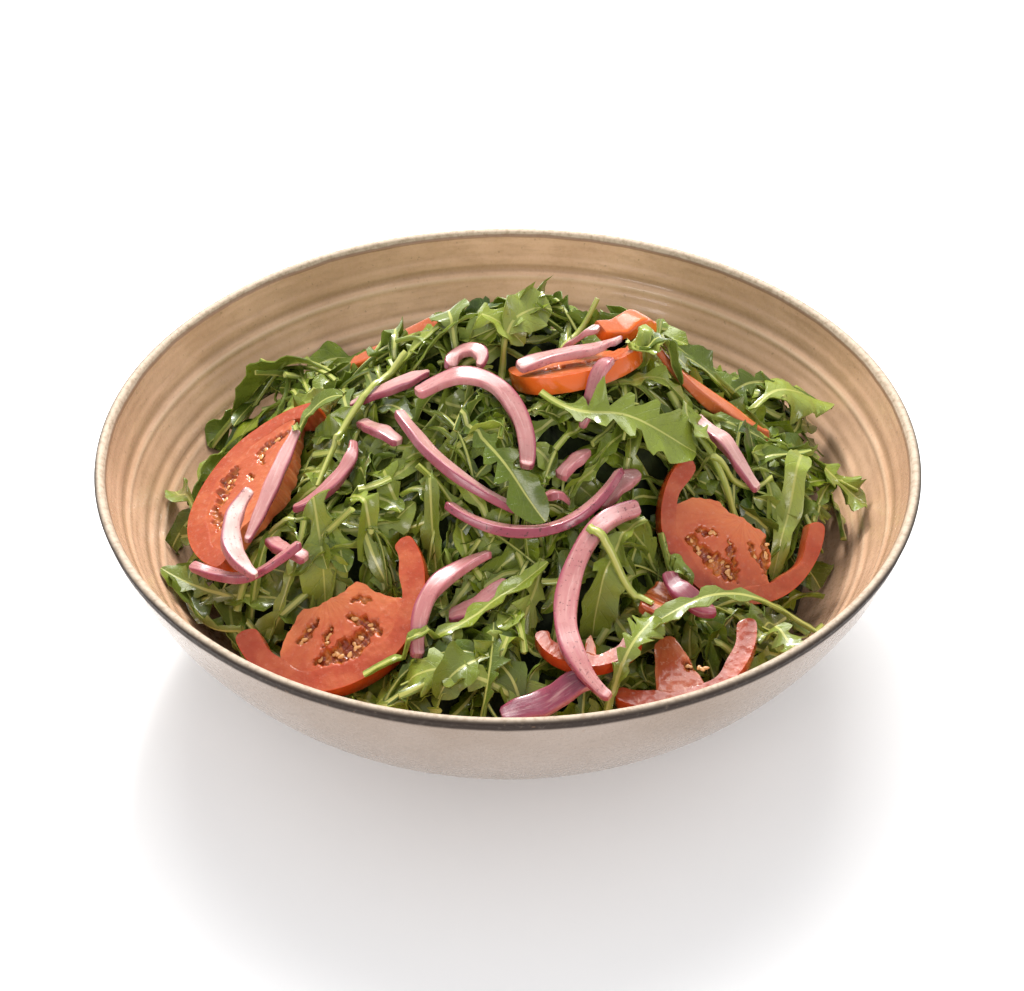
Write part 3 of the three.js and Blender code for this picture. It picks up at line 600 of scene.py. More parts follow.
def glaze_look():
    look = Look("glaze", coat_roughness=0.08, ior=1.36)
    height = look.height()
    inside = look.value("inside")
    cloud = look.noise(26, 3, 0.6)
    streak = look.noise(5, 3, 0.6, look.stretched(1, 1, 5))
    grain = look.noise(0.9, 3, 0.7)
    wall = look.mix(look.ease(cloud, 0.35, 0.7), (0.575, 0.35, 0.218), (0.73, 0.465, 0.305))
    wall = look.mix(look.ease(streak, 0.45, 0.7, 0, 0.35), wall, (0.42, 0.25, 0.145))
    ring = look.value("ring")
    wall = look.mix(look.ease(ring, 0.04, 0.25, 0, 0.6), wall, (0.33, 0.19, 0.105))
    wall = look.mix(look.ease(ring, -0.05, -0.3, 0, 0.5), wall, (0.72, 0.52, 0.36))
    outer = look.mix(look.ease(cloud, 0.3, 0.7), (0.265, 0.20, 0.152), (0.32, 0.255, 0.21))
    outer = look.mix(look.ease(height, 45, 6, 0, 0.35), outer, (0.31, 0.215, 0.145))
    clay = look.mix(grain, (0.46, 0.33, 0.22), (0.58, 0.44, 0.31))
    outer = look.mix(look.ease(height, 4.5, 3.2), outer, clay)
    colour = look.mix(inside, outer, wall)
    cream = look.mix(look.ease(grain, 0.3, 0.6), (0.35, 0.265, 0.185), (0.52, 0.42, 0.32))
    colour = look.mix(look.times(look.ease(look.value("lip"), 0.25, 0.7), 0.95), colour, cream)
    wobble = look.math("MULTIPLY_ADD", look.noise(9, 2), 1.2, look.math("SUBTRACT", height, 0.6))
    worn = look.times(look.band(wobble, WORN_LINE, 1.25, 1.3), look.value("outer_lip"))
    worn = look.times(worn, look.ease(grain, 0.2, 0.45, 0.8, 1.0))
    colour = look.mix(worn, colour, (0.022, 0.012, 0.007))
    rim_line = look.times(look.band(wobble, RIM_LINE, 0.3, 0.5), inside)
    colour = look.mix(look.times(rim_line, 0.7), colour, (0.20, 0.10, 0.055))
    pits = look.ease(look.noise(0.7, 1), 0.70, 0.78)
    colour = look.mix(look.times(pits, 0.4), colour, (0.25, 0.15, 0.09))
    look.colour(colour)
    bare = look.math("MAXIMUM", worn, look.value("lip"))
    look.roughness(look.math("MULTIPLY_ADD", bare, 0.35, look.ease(grain, 0.3, 0.7, 0.22, 0.36)))
    look.join(look.ease(bare, 0, 0.5, 0.35, 0), look.shader.inputs["Coat Weight"])
    look.bump(look.plus(look.noise(3, 2), look.times(grain, 0.2)), 0.15, 0.25)
    return look.material


def leaf_look():
    look = Look("rocket", coat_weight=0.65, coat_roughness=0.18, ior=1.34)
    across = look.math("ABSOLUTE", look.value("across"))
    along = look.value("along")
    tone = look.value("tone")
    pale = look.value("pale")
    under = look.value("under")
    mottle = look.noise(4, 3, 0.6)
    green = look.mix(tone, (0.040, 0.082, 0.004), (0.24, 0.31, 0.012))
    green = look.mix(look.ease(mottle, 0.35, 0.7, 0, 0.5), green, (0.034, 0.068, 0.004))
    # Partly the leaves' own paler green, partly a painted sheen of oil catching the light.
    light = look.mix(mottle, (0.32, 0.39, 0.04), (0.52, 0.56, 0.15))
    green = look.mix(look.times(pale, 0.75), green, light)
    green = look.mix(look.times(under, 0.45), green, (0.29, 0.38, 0.08))
    slant = look.math("SUBTRACT", along, look.times(across, 0.9))
    wave = look.math("PINGPONG", look.plus(slant, look.times(mottle, 1.5)), 2.1)
    side_vein = look.ease(wave, 0.28, 0.0, 0, 1)
    net = look.add("ShaderNodeTexVoronoi", feature="DISTANCE_TO_EDGE")
    look.join(look.place, net.inputs["Vector"])
    net.inputs["Scale"].default_value = 480
    mesh = look.ease(net.outputs["Distance"], 0.06, 0.0, 0, 0.35)
    veins = look.math("MAXIMUM", look.times(side_vein, 0.6), mesh)
    rib_half = look.value("rib")
    rib = look.ease(look.math("DIVIDE", across, rib_half), 1.15, 0.6, 0, 1)
    veins = look.times(veins, look.math("SUBTRACT", 1.0, rib))
    green = look.mix(look.times(veins, 0.4), green, (0.30, 0.37, 0.07))
    stalk = look.mix(look.noise(7, 2), (0.40, 0.43, 0.07), (0.66, 0.64, 0.22))
    green = look.mix(look.times(rib, 0.9), green, stalk)
    pepper = look.ease(look.noise(0.5, 2, 0.6), 0.70, 0.76, 0, 0.6)
    green = look.mix(pepper, green, (0.05, 0.035, 0.02))
    look.colour(green)
    look.roughness(look.ease(look.noise(2.5, 3), 0.3, 0.75, 0.24, 0.5))
    relief = look.plus(look.times(veins, -0.8), look.times(mottle, 0.8))
    normal = look.bump(relief, 0.6, 0.4)
    glow = look.add("ShaderNodeBsdfTranslucent")
    look.join(look.mix(0.4, green, (0.42, 0.50, 0.03)), glow.inputs["Color"])
    look.links.new(normal, glow.inputs["Normal"])
    both = look.add("ShaderNodeMixShader")
    both.inputs[0].default_value = 0.22
    look.links.new(look.shader.outputs[0], both.inputs[1])
    look.links.new(glow.outputs[0], both.inputs[2])
    look.links.new(both.outputs[0], look.nodes["Material Output"].inputs["Surface"])
    return look.material


def core_look():
    look = Look("shaded_leaves")
    # Painted shade: near black for the shade deep inside the heap, between the leaves.
    lumps = look.noise(5, 4, 0.6)
    look.colour(look.mix(look.ease(lumps, 0.35, 0.7), (0.010, 0.015, 0.003), (0.035, 0.05, 0.008)))
    look.roughness(0.95)
    look.bump(lumps, 0.8, 2)
    return look.material


def tomato_look():
    look = Look(
        "tomato", subsurface_weight=0.12, subsurface_radius=(1.0, 0.25, 0.1), subsurface_scale=0.0025,
        coat_weight=0.35, coat_roughness=0.1, ior=1.38,
    )
    orange = look.value("orange")
    skin = look.value("skin")
    gel = look.value("gel")
    ripe = look.value("ripe")
    grain = look.noise(0.8, 3, 0.7)
    cloud = look.noise(5, 3, 0.6)
    spokes = look.add("ShaderNodeCombineXYZ")
    look.join(look.times(look.value("turn"), 14 * MM), spokes.inputs[0])
    look.join(look.times(look.value("out"), 0.22 * MM), spokes.inputs[1])
    fibre = look.noise(0.8, 3, 0.6, spokes.outputs[0])
    flesh = look.mix(look.ease(ripe, 0.55, 0.75), (0.38, 0.066, 0.022), (0.31, 0.034, 0.011))
    flesh = look.mix(look.ease(ripe, 0.3, 0.0, 0, 0.8), flesh, (0.55, 0.17, 0.058))
    flesh = look.mix(look.ease(cloud, 0.4, 0.7, 0, 0.45), flesh, (0.52, 0.15, 0.06))
    flesh = look.mix(look.ease(fibre, 0.45, 0.7, 0, 0.5), flesh, (0.36, 0.045, 0.018))
    flesh = look.mix(look.times(orange, 0.5), flesh, (0.64, 0.17, 0.04))
    speck = look.times(look.ease(grain, 0.56, 0.68), look.value("grain"))
    flesh = look.mix(look.times(speck, 0.3), flesh, (0.80, 0.55, 0.42))
    peel = look.mix(look.ease(cloud, 0.35, 0.7), (0.33, 0.022, 0.007), (0.46, 0.05, 0.014))
    peel = look.mix(orange, peel, (0.80, 0.155, 0.016))
    colour = look.mix(skin, flesh, peel)
    jelly = look.mix(look.ease(fibre, 0.4, 0.62), (0.23, 0.035, 0.010), (0.52, 0.17, 0.035))
    colour = look.mix(look.ease(gel, 0.15, 0.75, 0, 0.92), colour, jelly)
    look.colour(colour)
    look.roughness(look.ease(look.plus(skin, gel), 0, 1, 0.34, 0.16))
    look.bump(look.plus(look.plus(grain, cloud), look.times(fibre, 0.5)), 0.35, 0.45)
    return look.material


def seed_look():
    look = Look("tomato_seed", coat_weight=0.5, coat_roughness=0.1)
    shade = look.noise(0.8, 2)
    look.colour(look.mix(shade, (0.50, 0.20, 0.05), (0.74, 0.42, 0.15)))
    look.roughness(0.35)
    look.bump(shade, 0.3, 0.1)
    return look.material


def onion_look():
    look = Look(
        "onion", subsurface_weight=0.25, subsurface_radius=(1.0, 0.6, 0.6), subsurface_scale=0.003,
        coat_weight=0.35, coat_roughness=0.15, ior=1.4,
    )
    pink = look.value("pink")
    side = look.value("side")
    cloud = look.noise(6, 3, 0.6)
    lines = look.add("ShaderNodeCombineXYZ")
    look.join(look.times(look.value("along"), 0.12 * MM), lines.inputs[0])
    look.join(look.times(side, 3.5 * MM), lines.inputs[1])
    grain = look.noise(0.7, 3, 0.6, lines.outputs[0])
    white = look.mix(cloud, (0.50, 0.29, 0.26), (0.70, 0.49, 0.43))
    rose = look.mix(cloud, (0.33, 0.095, 0.10), (0.52, 0.24, 0.225))
    plum = look.mix(cloud, (0.13, 0.014, 0.04), (0.24, 0.042, 0.075))
    flesh = look.mix(look.ease(pink, 0.05, 0.6), white, rose)
    flesh = look.mix(look.ease(pink, 0.6, 1.0), flesh, plum)
    edge = look.plus(side, look.math("MULTIPLY_ADD", cloud, 0.4, -0.2))
    colour = look.mix(look.ease(edge, 0.55, 0.92, 0, 0.85), flesh, (0.25, 0.032, 0.068))
    colour = look.mix(look.ease(edge, -0.75, -0.98, 0, 0.5), colour, (0.42, 0.10, 0.13))
    colour = look.mix(look.ease(grain, 0.5, 0.75, 0, 0.35), colour, (0.72, 0.50, 0.46))
    colour = look.mix(look.ease(grain, 0.5, 0.3, 0, 0.3), colour, (0.38, 0.09, 0.12))
    pepper = look.ease(look.noise(0.55, 2, 0.6), 0.60, 0.68)
    colour = look.mix(look.times(pepper, look.value("specks")), colour, (0.10, 0.035, 0.035))
    look.colour(colour)
    look.roughness(look.ease(cloud, 0.3, 0.7, 0.2, 0.36))
    look.bump(look.plus(look.times(grain, 0.7), cloud), 0.35, 0.4)
    return look.material


# ---- the bowl ------------------------------------------------------------------------------------


def bowl_profile():
    """Rows of radius, height, inside (0 or 1) and lip (0 to 1), from the foot round the lip."""
    foot = BOWL["foot_radius"]
    hollow = foot - BOWL["foot_width"]
    rows = [(r, BOWL["recess"], 0, 0) for r in (1, 20, 36, hollow - 1.5)]
    rows += [(hollow - 0.4, 0.6, 0, 0), (hollow + 0.5, 0, 0, 0)]
    rows += [(foot - 0.8, 0, 0, 0), (foot - 0.1, 0.4, 0, 0), (foot + 0.3, 2.4, 0, 0)]
    lip_height = BOWL["height"] - BOWL["lip"]
    for share in np.linspace(0, 1, OUTSIDE_ROWS):
        z = FOOT_HEIGHT + (lip_height - FOOT_HEIGHT) * share**1.4
        lip = float(np.clip((z - LIP_START_OUTSIDE) / LIP_FADE, 0, 1))
        rows.append((float(bowl_outside(z)) - 0.05, z, 0, lip))
    for angle in np.linspace(0, math.pi, LIP_ROWS + 2)[1:-1]:
        r = BOWL["radius"] - BOWL["lip"] + BOWL["lip"] * math.cos(angle)
        rows.append((r, lip_height + BOWL["lip"] * math.sin(angle), float(angle > 2.0), 1))
    for share in np.linspace(0, 1, INSIDE_ROWS):
        z = lip_height - (lip_height - BOWL["floor"] - 0.4) * share
        rows.append((float(inside_reach(z)), z, 1, float(np.clip((z - LIP_START_INSIDE) / LIP_FADE, 0, 1))))
    rows += [(r, float(bowl_inside(r)), 1, 0) for r in (24, 12, 1)]
    return np.array(rows)


def make_bowl(material):
    profile = bowl_profile()
    turn = np.linspace(0, 2 * math.pi, BOWL_SEGMENTS, endpoint=False)
    radius, height, inside, lip = [column[:, None] for column in profile.T]
    wander = 0.5 * np.sin(turn + 1.1) + 0.3 * np.sin(2 * turn + 0.4) + 0.12 * np.sin(5 * turn)
    relief = np.zeros((len(profile), BOWL_SEGMENTS))
    for level, depth, spread in THROWING_RINGS:
        strength = 1 + 0.25 * np.sin(3 * turn + level)
        relief += 0.6 * depth * strength * np.exp(-(((height - level - wander) / spread) ** 2))
    relief += 0.035 * np.sin(2 * math.pi * (height - wander) / 2.9)
    relief *= inside * (1 - lip)
    sag = 0.25 * lip * (np.sin(2 * turn + 0.7) - 1) + 0.12 * lip * (np.sin(7 * turn) - 1)
    out = radius + relief - 0.15 * inside * (1 - lip)
    points = np.stack([out * np.cos(turn), out * np.sin(turn), height + sag], axis=-1)
    faces = [tuple(reversed(face)) for face in tube_faces(len(profile), BOWL_SEGMENTS)]
    crest = BOWL["radius"] - BOWL["lip"]
    outer = np.where(inside == 1, 0, np.clip((radius - crest) / (0.8 * BOWL["lip"]), 0, 1))
    outer = np.where((lip == 0) & (inside == 0), 1, outer)
    rows = {"inside": inside, "lip": lip, "outer_lip": outer}
    values = {name: np.repeat(row, BOWL_SEGMENTS) for name, row in rows.items()}
    parts = Parts()
    parts.add(points.reshape(-1, 3), faces, ring=relief.ravel(), **values)
    parts.piece("stoneware_bowl", material, "bowl", crease=60)


# ---- toppings ------------------------------------------------------------------------------------

STRIP_SIDES = 28  # points round a strip
STRIP_SQUARENESS = 0.34  # 1 for a round strip, towards 0 for a square one
SLICE_CELL = 0.5  # from point to point on a slice
SEED_RINGS, SEED_SIDES = 5, 8
SEED_WIDTH, SEED_THICKNESS = 0.62, 0.34  # shares of its half length
SEED_DEPTH = 0.45  # below the slice's face, in a shallow pocket


def middle_line(spec, share):
    """Places along a piece's middle line seen from above, and the direction to its left side."""
    steps = 80
    angles = np.radians(spec["heading"] + spec["bend"] * ((np.arange(steps) + 0.5) / steps - 0.5))
    step = spec["length"] / steps
    x = np.concatenate([[0], np.cumsum(step * np.cos(angles))])
    y = np.concatenate([[0], np.cumsum(step * np.sin(angles))])
    x += spec["at"][0] - x[steps // 2]
    y += spec["at"][1] - y[steps // 2]
    places = np.linspace(0, 1, steps + 1)
    heading = np.radians(spec["heading"] + spec["bend"] * (share - 0.5))
    side = np.stack([-np.sin(heading), np.cos(heading), np.zeros_like(share)], axis=-1)
    return np.interp(share, places, x), np.interp(share, places, y), side


def strip_parts(spec, rng):
    """A strip's surface, laid where its solid lies: points ring by ring with the ring's own places."""
    tree = surface_of(spec["name"])
    probes = np.linspace(0.03, 0.97, 24)
    x, y, side = middle_line(spec, probes)
    reach = 0.28 * spec["width"]

    def probe(off, above=True):
        places = zip(x + off * side[:, 0], y + off * side[:, 1])
        return evened(bridged([height_at(tree, a, b, above) for a, b in places]), 4)

    top, low, left, right = probe(0), probe(0, False), probe(reach), probe(-reach)
    stations = max(16, int(spec["length"] / 0.9))
    share = 0.5 - 0.5 * np.cos(np.linspace(0, math.pi, stations))
    share = 0.65 * np.linspace(0, 1, stations) + 0.35 * share
    x, y, side = middle_line(spec, share)
    middle = np.interp(share, probes, (top + low) / 2)
    bank = 0.8 * np.arctan(np.interp(share, probes, (left - right) / (2 * reach)))
    upward = np.array([0, 0, 1.0])
    out = side * np.cos(bank)[:, None] + upward * np.sin(bank)[:, None]
    normal = upward * np.cos(bank)[:, None] - side * np.sin(bank)[:, None]
    ends = rng.uniform(0.5, 0.95, 2)
    full = 1 - (1 - ends[0]) * smooth_step(share, 0.3, 0) - (1 - ends[1]) * smooth_step(share, 0.7, 1)
    full = full * (0.6 + 0.4 * np.maximum(1 - np.abs(2 * share - 1) ** 30, 0) ** 0.5)
    angle = np.linspace(0, 2 * math.pi, STRIP_SIDES, endpoint=False) + math.pi / STRIP_SIDES
    across = np.sign(np.cos(angle)) * np.abs(np.cos(angle)) ** STRIP_SQUARENESS
    over = np.sign(np.sin(angle)) * np.abs(np.sin(angle)) ** STRIP_SQUARENESS
    phase = rng.uniform(0, 6.28, 3)
    swell = 1 + 0.07 * np.sin(share * 9 + phase[0]) + 0.05 * np.sin(share * 21 + phase[1])
    width = 0.54 * spec["width"] * full * swell
    uneven = 0.92 + 0.06 * np.sin(share * 13 + phase[2])
    thick = (spec["thickness"] / 2) * (0.25 + 0.75 * full) * uneven
    centre = np.stack([x, y, middle], axis=-1)
    points = (
        centre[:, None]
        + out[:, None] * (width[:, None] * across)[..., None]
        + normal[:, None] * (thick[:, None] * over)[..., None]
    )
    outer = -1 if spec["bend"] > 0 else 1
    values = {
        "side": np.tile(across * outer, stations),
        "over": np.tile(over, stations),
        "along": np.repeat(share * spec["length"], STRIP_SIDES),
    }
    return points.reshape(-1, 3), tube_faces(stations, STRIP_SIDES), values


def slice_axes(spec):
    """The slice's own x and y axes and the normal of its upper face."""
    facing = math.radians(spec["facing"])
    axis = Vector((-math.sin(facing), math.cos(facing), 0))
    turn = Matrix.Rotation(math.radians(spec["tilt"]), 3, axis)
    return np.array(turn.transposed())


def slice_place(spec, points):
    """Points given in the slice's own axes, where they lie in the bowl."""
    centre = np.array([*spec["at"], spec["height"]])
    return centre + np.asarray(points) @ slice_axes(spec)


def spots_of(pocket):
    """The pocket's spots: place and half width."""
    turns = [math.radians(angle) for angle, _, _ in pocket[1:]]
    return [(d * math.cos(a), d * math.sin(a), w) for a, (_, d, w) in zip(turns, pocket[1:])]


def pocket_share(spec, x, y):
    """How deep in a seed pocket each point lies, from 0 beside it to 1, and the sinking there."""
    wx = x + 0.45 * np.sin(1.3 * y + 0.7 * x) + 0.25 * np.sin(2.9 * y - 1.1 * x)
    wy = y + 0.45 * np.cos(1.4 * x - 0.6 * y) + 0.25 * np.sin(3.1 * x + 0.8 * y)
    deep = np.zeros_like(x)
    sink = np.zeros_like(x)
    for pocket in spec["pockets"]:
        spots = spots_of(pocket)
        for (ax, ay, aw), (bx, by, bw) in zip(spots, spots[1:]):
            dx, dy = bx - ax, by - ay
            along = np.clip(((wx - ax) * dx + (wy - ay) * dy) / (dx * dx + dy * dy), 0, 1)
            gap = 1.25 * (aw + (bw - aw) * along) - np.hypot(wx - ax - along * dx, wy - ay - along * dy)
            share = np.clip(gap / 0.8 + 0.35, 0, 1)
            deep = np.maximum(deep, share)
            sink = np.maximum(sink, share * pocket[0])
    return deep, sink * (1 + 0.18 * np.sin(2.1 * x) * np.cos(2.4 * y))


def slice_parts(spec, rng):
    """A cut slice: the arc of wall and the flesh inside it, with seed pockets sunk in its upper face."""
    radius, wall = spec["radius"], spec["wall"]
    start, end = spec["ring"]
    columns = int(math.radians(end - start) * radius / SLICE_CELL) + 1
    theta = np.linspace(start, end, columns)
    band_rows = int(wall / SLICE_CELL) + 1
    flesh_rows = int((radius - wall) / SLICE_CELL) + 1
    phase = rng.uniform(0, 6.28, 6)
    arc = np.radians(theta)
    uneven = 1 - 0.006 * (1 + np.sin(3 * arc + phase[0])) - 0.004 * (1 + np.sin(7 * arc + phase[1]))
    rim = radius * uneven
    to_end = np.minimum(theta - start, end - theta) * math.radians(1) * radius
    shrink = 1 - np.sqrt(np.clip(1 - np.clip(1 - to_end / 2.4, 0, 1) ** 2, 0, 1))
    outer = rim - shrink * wall * 0.36
    inner = radius - wall * (1 + 0.10 * np.sin(5 * arc + phase[2]) + 0.06 * np.sin(11 * arc + phase[3]))
    inner = inner + shrink * wall * 0.36
    share = np.linspace(0, 1, band_rows)[:, None]
    r = outer * (1 - share) + inner * share
    band = np.stack([r * np.cos(arc), r * np.sin(arc)], axis=-1)
    filled = (theta >= spec["flesh"][0]) & (theta <= spec["flesh"][1])
    first, last = np.flatnonzero(filled)[[0, -1]]
    knots = np.array([band[-1, first], *spec["edge"], band[-1, last]])
    lengths = np.concatenate([[0], np.cumsum(np.linalg.norm(np.diff(knots, axis=0), axis=1))])
    line = np.linspace(0, lengths[-1], last - first + 1)
    free = np.stack([evened(np.interp(line, lengths, knots[:, k]), 3) for k in (0, 1)], axis=-1)
    ragged = 0.4 * np.sin(0.7 * line + phase[4]) + 0.14 * np.sin(2.1 * line + phase[5])
    ragged = ragged * np.clip(np.minimum(line, lengths[-1] - line) / 4, 0, 1)
    free = free + ragged[:, None] * unit(band[-1, first : last + 1] - free)
    inward = np.linspace(0, 1, flesh_rows)[1:, None, None]
    flesh = band[-1, first : last + 1] * (1 - inward) + free * inward
    flat = np.concatenate([band.reshape(-1, 2), flesh.reshape(-1, 2)])
    faces = [tuple(reversed(face)) for face in grid_faces(band_rows, columns)]
    base = band_rows * columns
    width = last - first + 1
    above = [(band_rows - 1) * columns + first + j for j in range(width)]
    for i in range(flesh_rows - 1):
        below = [base + i * width + j for j in range(width)]
        faces += [(above[j + 1], below[j + 1], below[j], above[j]) for j in range(width - 1)]
        above = below
    ripe_wall = np.repeat(1 - 0.3 * share[:, 0], columns)
    ripe_flesh = np.repeat(0.5 - 0.5 * inward.ravel(), width)
    return lofted_slab(spec, flat, faces, np.concatenate([ripe_wall, ripe_flesh]), columns)


def lofted_slab(spec, flat, faces, ripe, columns):
    """The slice as a closed solid: both faces with their relief, joined by rounded sides.

    flat and faces are the upper face seen from above, its first points those of the rim; ripe goes
    from 1 at the rim to 0 at the middle.
    """
    x, y = flat.T
    thickness = spec["thickness"]
    deep, sink = pocket_share(spec, x, y)
    lump = 0.22 * np.sin(0.55 * x + 1) * np.cos(0.6 * y) + 0.12 * np.sin(1.7 * x) * np.sin(1.4 * y + 1)
    crown = 0.55 * np.clip(1 - ripe, 0, 1)
    groove = 0.35 * np.exp(-(((ripe - 0.6) / 0.08) ** 2))
    top = np.stack([x, y, -sink - 0.2 - crown - groove - 0.5 * np.abs(lump)], axis=-1)
    bottom = np.stack([x, y, -thickness + 0.25 + 0.5 * np.abs(lump)], axis=-1)
    size = len(flat)
    edges = set()
    for face in faces:
        edges.update(zip(face, face[1:] + face[:1]))
    border = sorted((a, b) for a, b in edges if (b, a) not in edges)
    outward = np.zeros((size, 2))
    for a, b in border:
        step = flat[b] - flat[a]
        normal = np.array([step[1], -step[0]])
        outward[a] += normal
        outward[b] += normal
    outward = unit(outward)
    rounds = [(0.10, 0.06), (0.3, 0.18), (0.6, 0.2), (0.9, 0.06)]  # share of the way down, bulge
    rim = np.arange(size) < columns
    skin = np.where(rim, 0.75, 0.0)
    extra, rows, sources = {}, [], []
    for number, k in enumerate(sorted({a for edge in border for a in edge})):
        extra[k] = 2 * size + len(rounds) * number
        for share, bulge in rounds:
            level = top[k] * (1 - share) + bottom[k] * share
            level[:2] += outward[k] * bulge * (1 if rim[k] else 0.6)
            rows.append(level)
            sources.append(k)
    solid = list(faces) + [tuple(k + size for k in reversed(face)) for face in faces]
    for a, b in border:
        left = [a, *range(extra[a], extra[a] + len(rounds)), a + size]
        right = [b, *range(extra[b], extra[b] + len(rounds)), b + size]
        for i in range(len(left) - 1):
            solid.append((left[i], left[i + 1], right[i + 1], right[i]))
    points = np.concatenate([top, bottom, np.array(rows)])
    values = {
        "skin": np.concatenate([skin, skin, np.where(rim[sources], 1.0, 0.0)]),
        "gel": np.concatenate([deep, deep * 0.5, deep[sources]]),
        "ripe": np.concatenate([ripe, ripe, ripe[sources]]),
        "turn": np.arctan2(points[:, 1], points[:, 0]),
        "out": np.hypot(points[:, 0], points[:, 1]),
    }
    return slice_place(spec, points), solid, values


def add_seed(parts, centre, axes, size, turn):
    """One flat drop-shaped seed."""
    rings, sides = SEED_RINGS, SEED_SIDES
    rows = []
    for i in range(1, rings):
        a = math.pi * i / rings
        drop = 1 - 0.35 * math.cos(a)
        for j in range(sides):
            b = 2 * math.pi * j / sides
            across = math.sin(a) * math.cos(b) * SEED_WIDTH * drop
            rows.append((math.cos(a), across, math.sin(a) * math.sin(b) * SEED_THICKNESS))
    local = np.array([(1, 0, 0), *rows, (-1, 0, 0)]) * size
    c, s = math.cos(turn), math.sin(turn)
    local = local @ np.array([[c, s, 0], [-s, c, 0], [0, 0, 1]])
    faces = [tuple(reversed(face)) for face in grid_faces(rings - 1, sides, 1, True)]
    faces += [(0, 1 + j, 1 + (j + 1) % sides) for j in range(sides)]
    last = 1 + (rings - 2) * sides
    tip = len(local) - 1
    faces += [(tip, last + (j + 1) % sides, last + j) for j in range(sides)]
    parts.add(centre + local @ axes, faces)


def make_tomatoes(material, seed_material):
    rng = np.random.default_rng(TOMATO_DRAWS)
    seeds = Parts()
    solids = []
    for spec in SLICES:
        points, faces, values = slice_parts(spec, rng)
        parts = Parts()
        parts.add(points, faces, orange=spec["orange"], grain=spec["grain"], **values)
        parts.piece("cut_" + spec["name"], material, spec["name"], crease=42)
        solids.append(points)
        axes = slice_axes(spec)
        room = [len(pocket) + 2 * sum(spot[2] for spot in pocket[1:]) for pocket in spec["pockets"]]
        for _ in range(spec["seeds"]):
            pocket = spec["pockets"][rng.choice(len(room), p=np.array(room) / sum(room))]
            spots = spots_of(pocket)
            first = rng.integers(len(spots) - 1)
            along = rng.uniform(0, 1)
            spot = np.array(spots[first]) * (1 - along) + np.array(spots[first + 1]) * along
            off = rng.uniform(-0.8, 0.8, 2) * spot[2]
            depth = SEED_DEPTH + pocket[0] * 0.8
            place = slice_place(spec, np.array([spot[0] + off[0], spot[1] + off[1], -depth]))
            add_seed(seeds, place, axes, rng.uniform(0.75, 1.15), rng.uniform(0, 6.28))
    seeds.piece("tomato_seeds", seed_material)
    for spec in TOMATO_STRIPS:
        points, faces, values = strip_parts(spec, rng)
        core = "core" in spec["name"]
        skin = 0 if core else np.clip(values["side"] * 3 - 1.4, 0, 1)
        gel = np.clip(values["over"] + 0.4, 0, 1) * 0.5 if core else 0
        parts = Parts()
        parts.add(
            points, faces, skin=skin, gel=gel, ripe=0.6, orange=spec["orange"], grain=0.5,
            turn=values["along"] / 20, out=values["side"] * 3,
        )
        parts.piece("cut_" + spec["name"], material, spec["name"])
        solids.append(points)
    return solids


def make_onions(material):
    rng = np.random.default_rng(ONION_DRAWS)
    solids = []
    for row in ONION_STRIPS:
        spec = dict(zip(ONION_KEYS, row))
        points, faces, values = strip_parts(spec, rng)
        parts = Parts()
        parts.add(points, faces, pink=spec["pink"], specks=spec["specks"], **values)
        parts.piece("cut_" + spec["name"], material, spec["name"], crease=40)
        solids.append(points)
    return solids


# ---- leaves --------------------------------------------------------------------------------------


def half_widths(kind, width, share, rng):
    """Half width of one side of a leaf from the stalk's end to the tip."""
    half = width / 2
    stalk = (1.15 - 0.35 * share) * (1 - share**6) + 0.1
    if kind == "stem":
        return half * (1 - 0.35 * share)
    if kind == "strap":
        blade = smooth_step(share, 0.12, 0.4) * np.sqrt(np.clip(1 - share**5, 0, 1))
        wave = 1 + 0.14 * np.sin(share * rng.uniform(16, 26) + rng.uniform(0, 6))
        return np.maximum(stalk, half * blade * wave)
    if kind == "young":
        rise = smooth_step(share, 0.25, 0.55)
        fall = np.sqrt(np.clip(1 - ((share - 0.55) / 0.452) ** 2, 0, 1))
        blade = np.where(share < 0.55, rise, rise * fall)
        wave = 1 + 0.10 * np.sin(share * 17 + rng.uniform(0, 6))
        return np.maximum(stalk, half * blade * wave)
    lobes = rng.uniform(2.8, 4.6)
    depth = rng.uniform(0.55, 0.85)
    grow = 0.45 + 0.55 * smooth_step(share, 0.15, 0.75)
    round_tip = np.sqrt(np.clip(1 - (np.clip(share - 0.74, 0, 1) / 0.262) ** 2, 0, 1))
    blade = smooth_step(share, 0.12, 0.26) * grow * round_tip
    sinus = (0.5 + 0.5 * np.cos(2 * math.pi * lobes * (share - 0.16) / 0.62)) ** 1.3
    sinus *= 1 - smooth_step(share, 0.68, 0.84)
    return np.maximum(stalk, half * blade * (1 - depth * sinus))


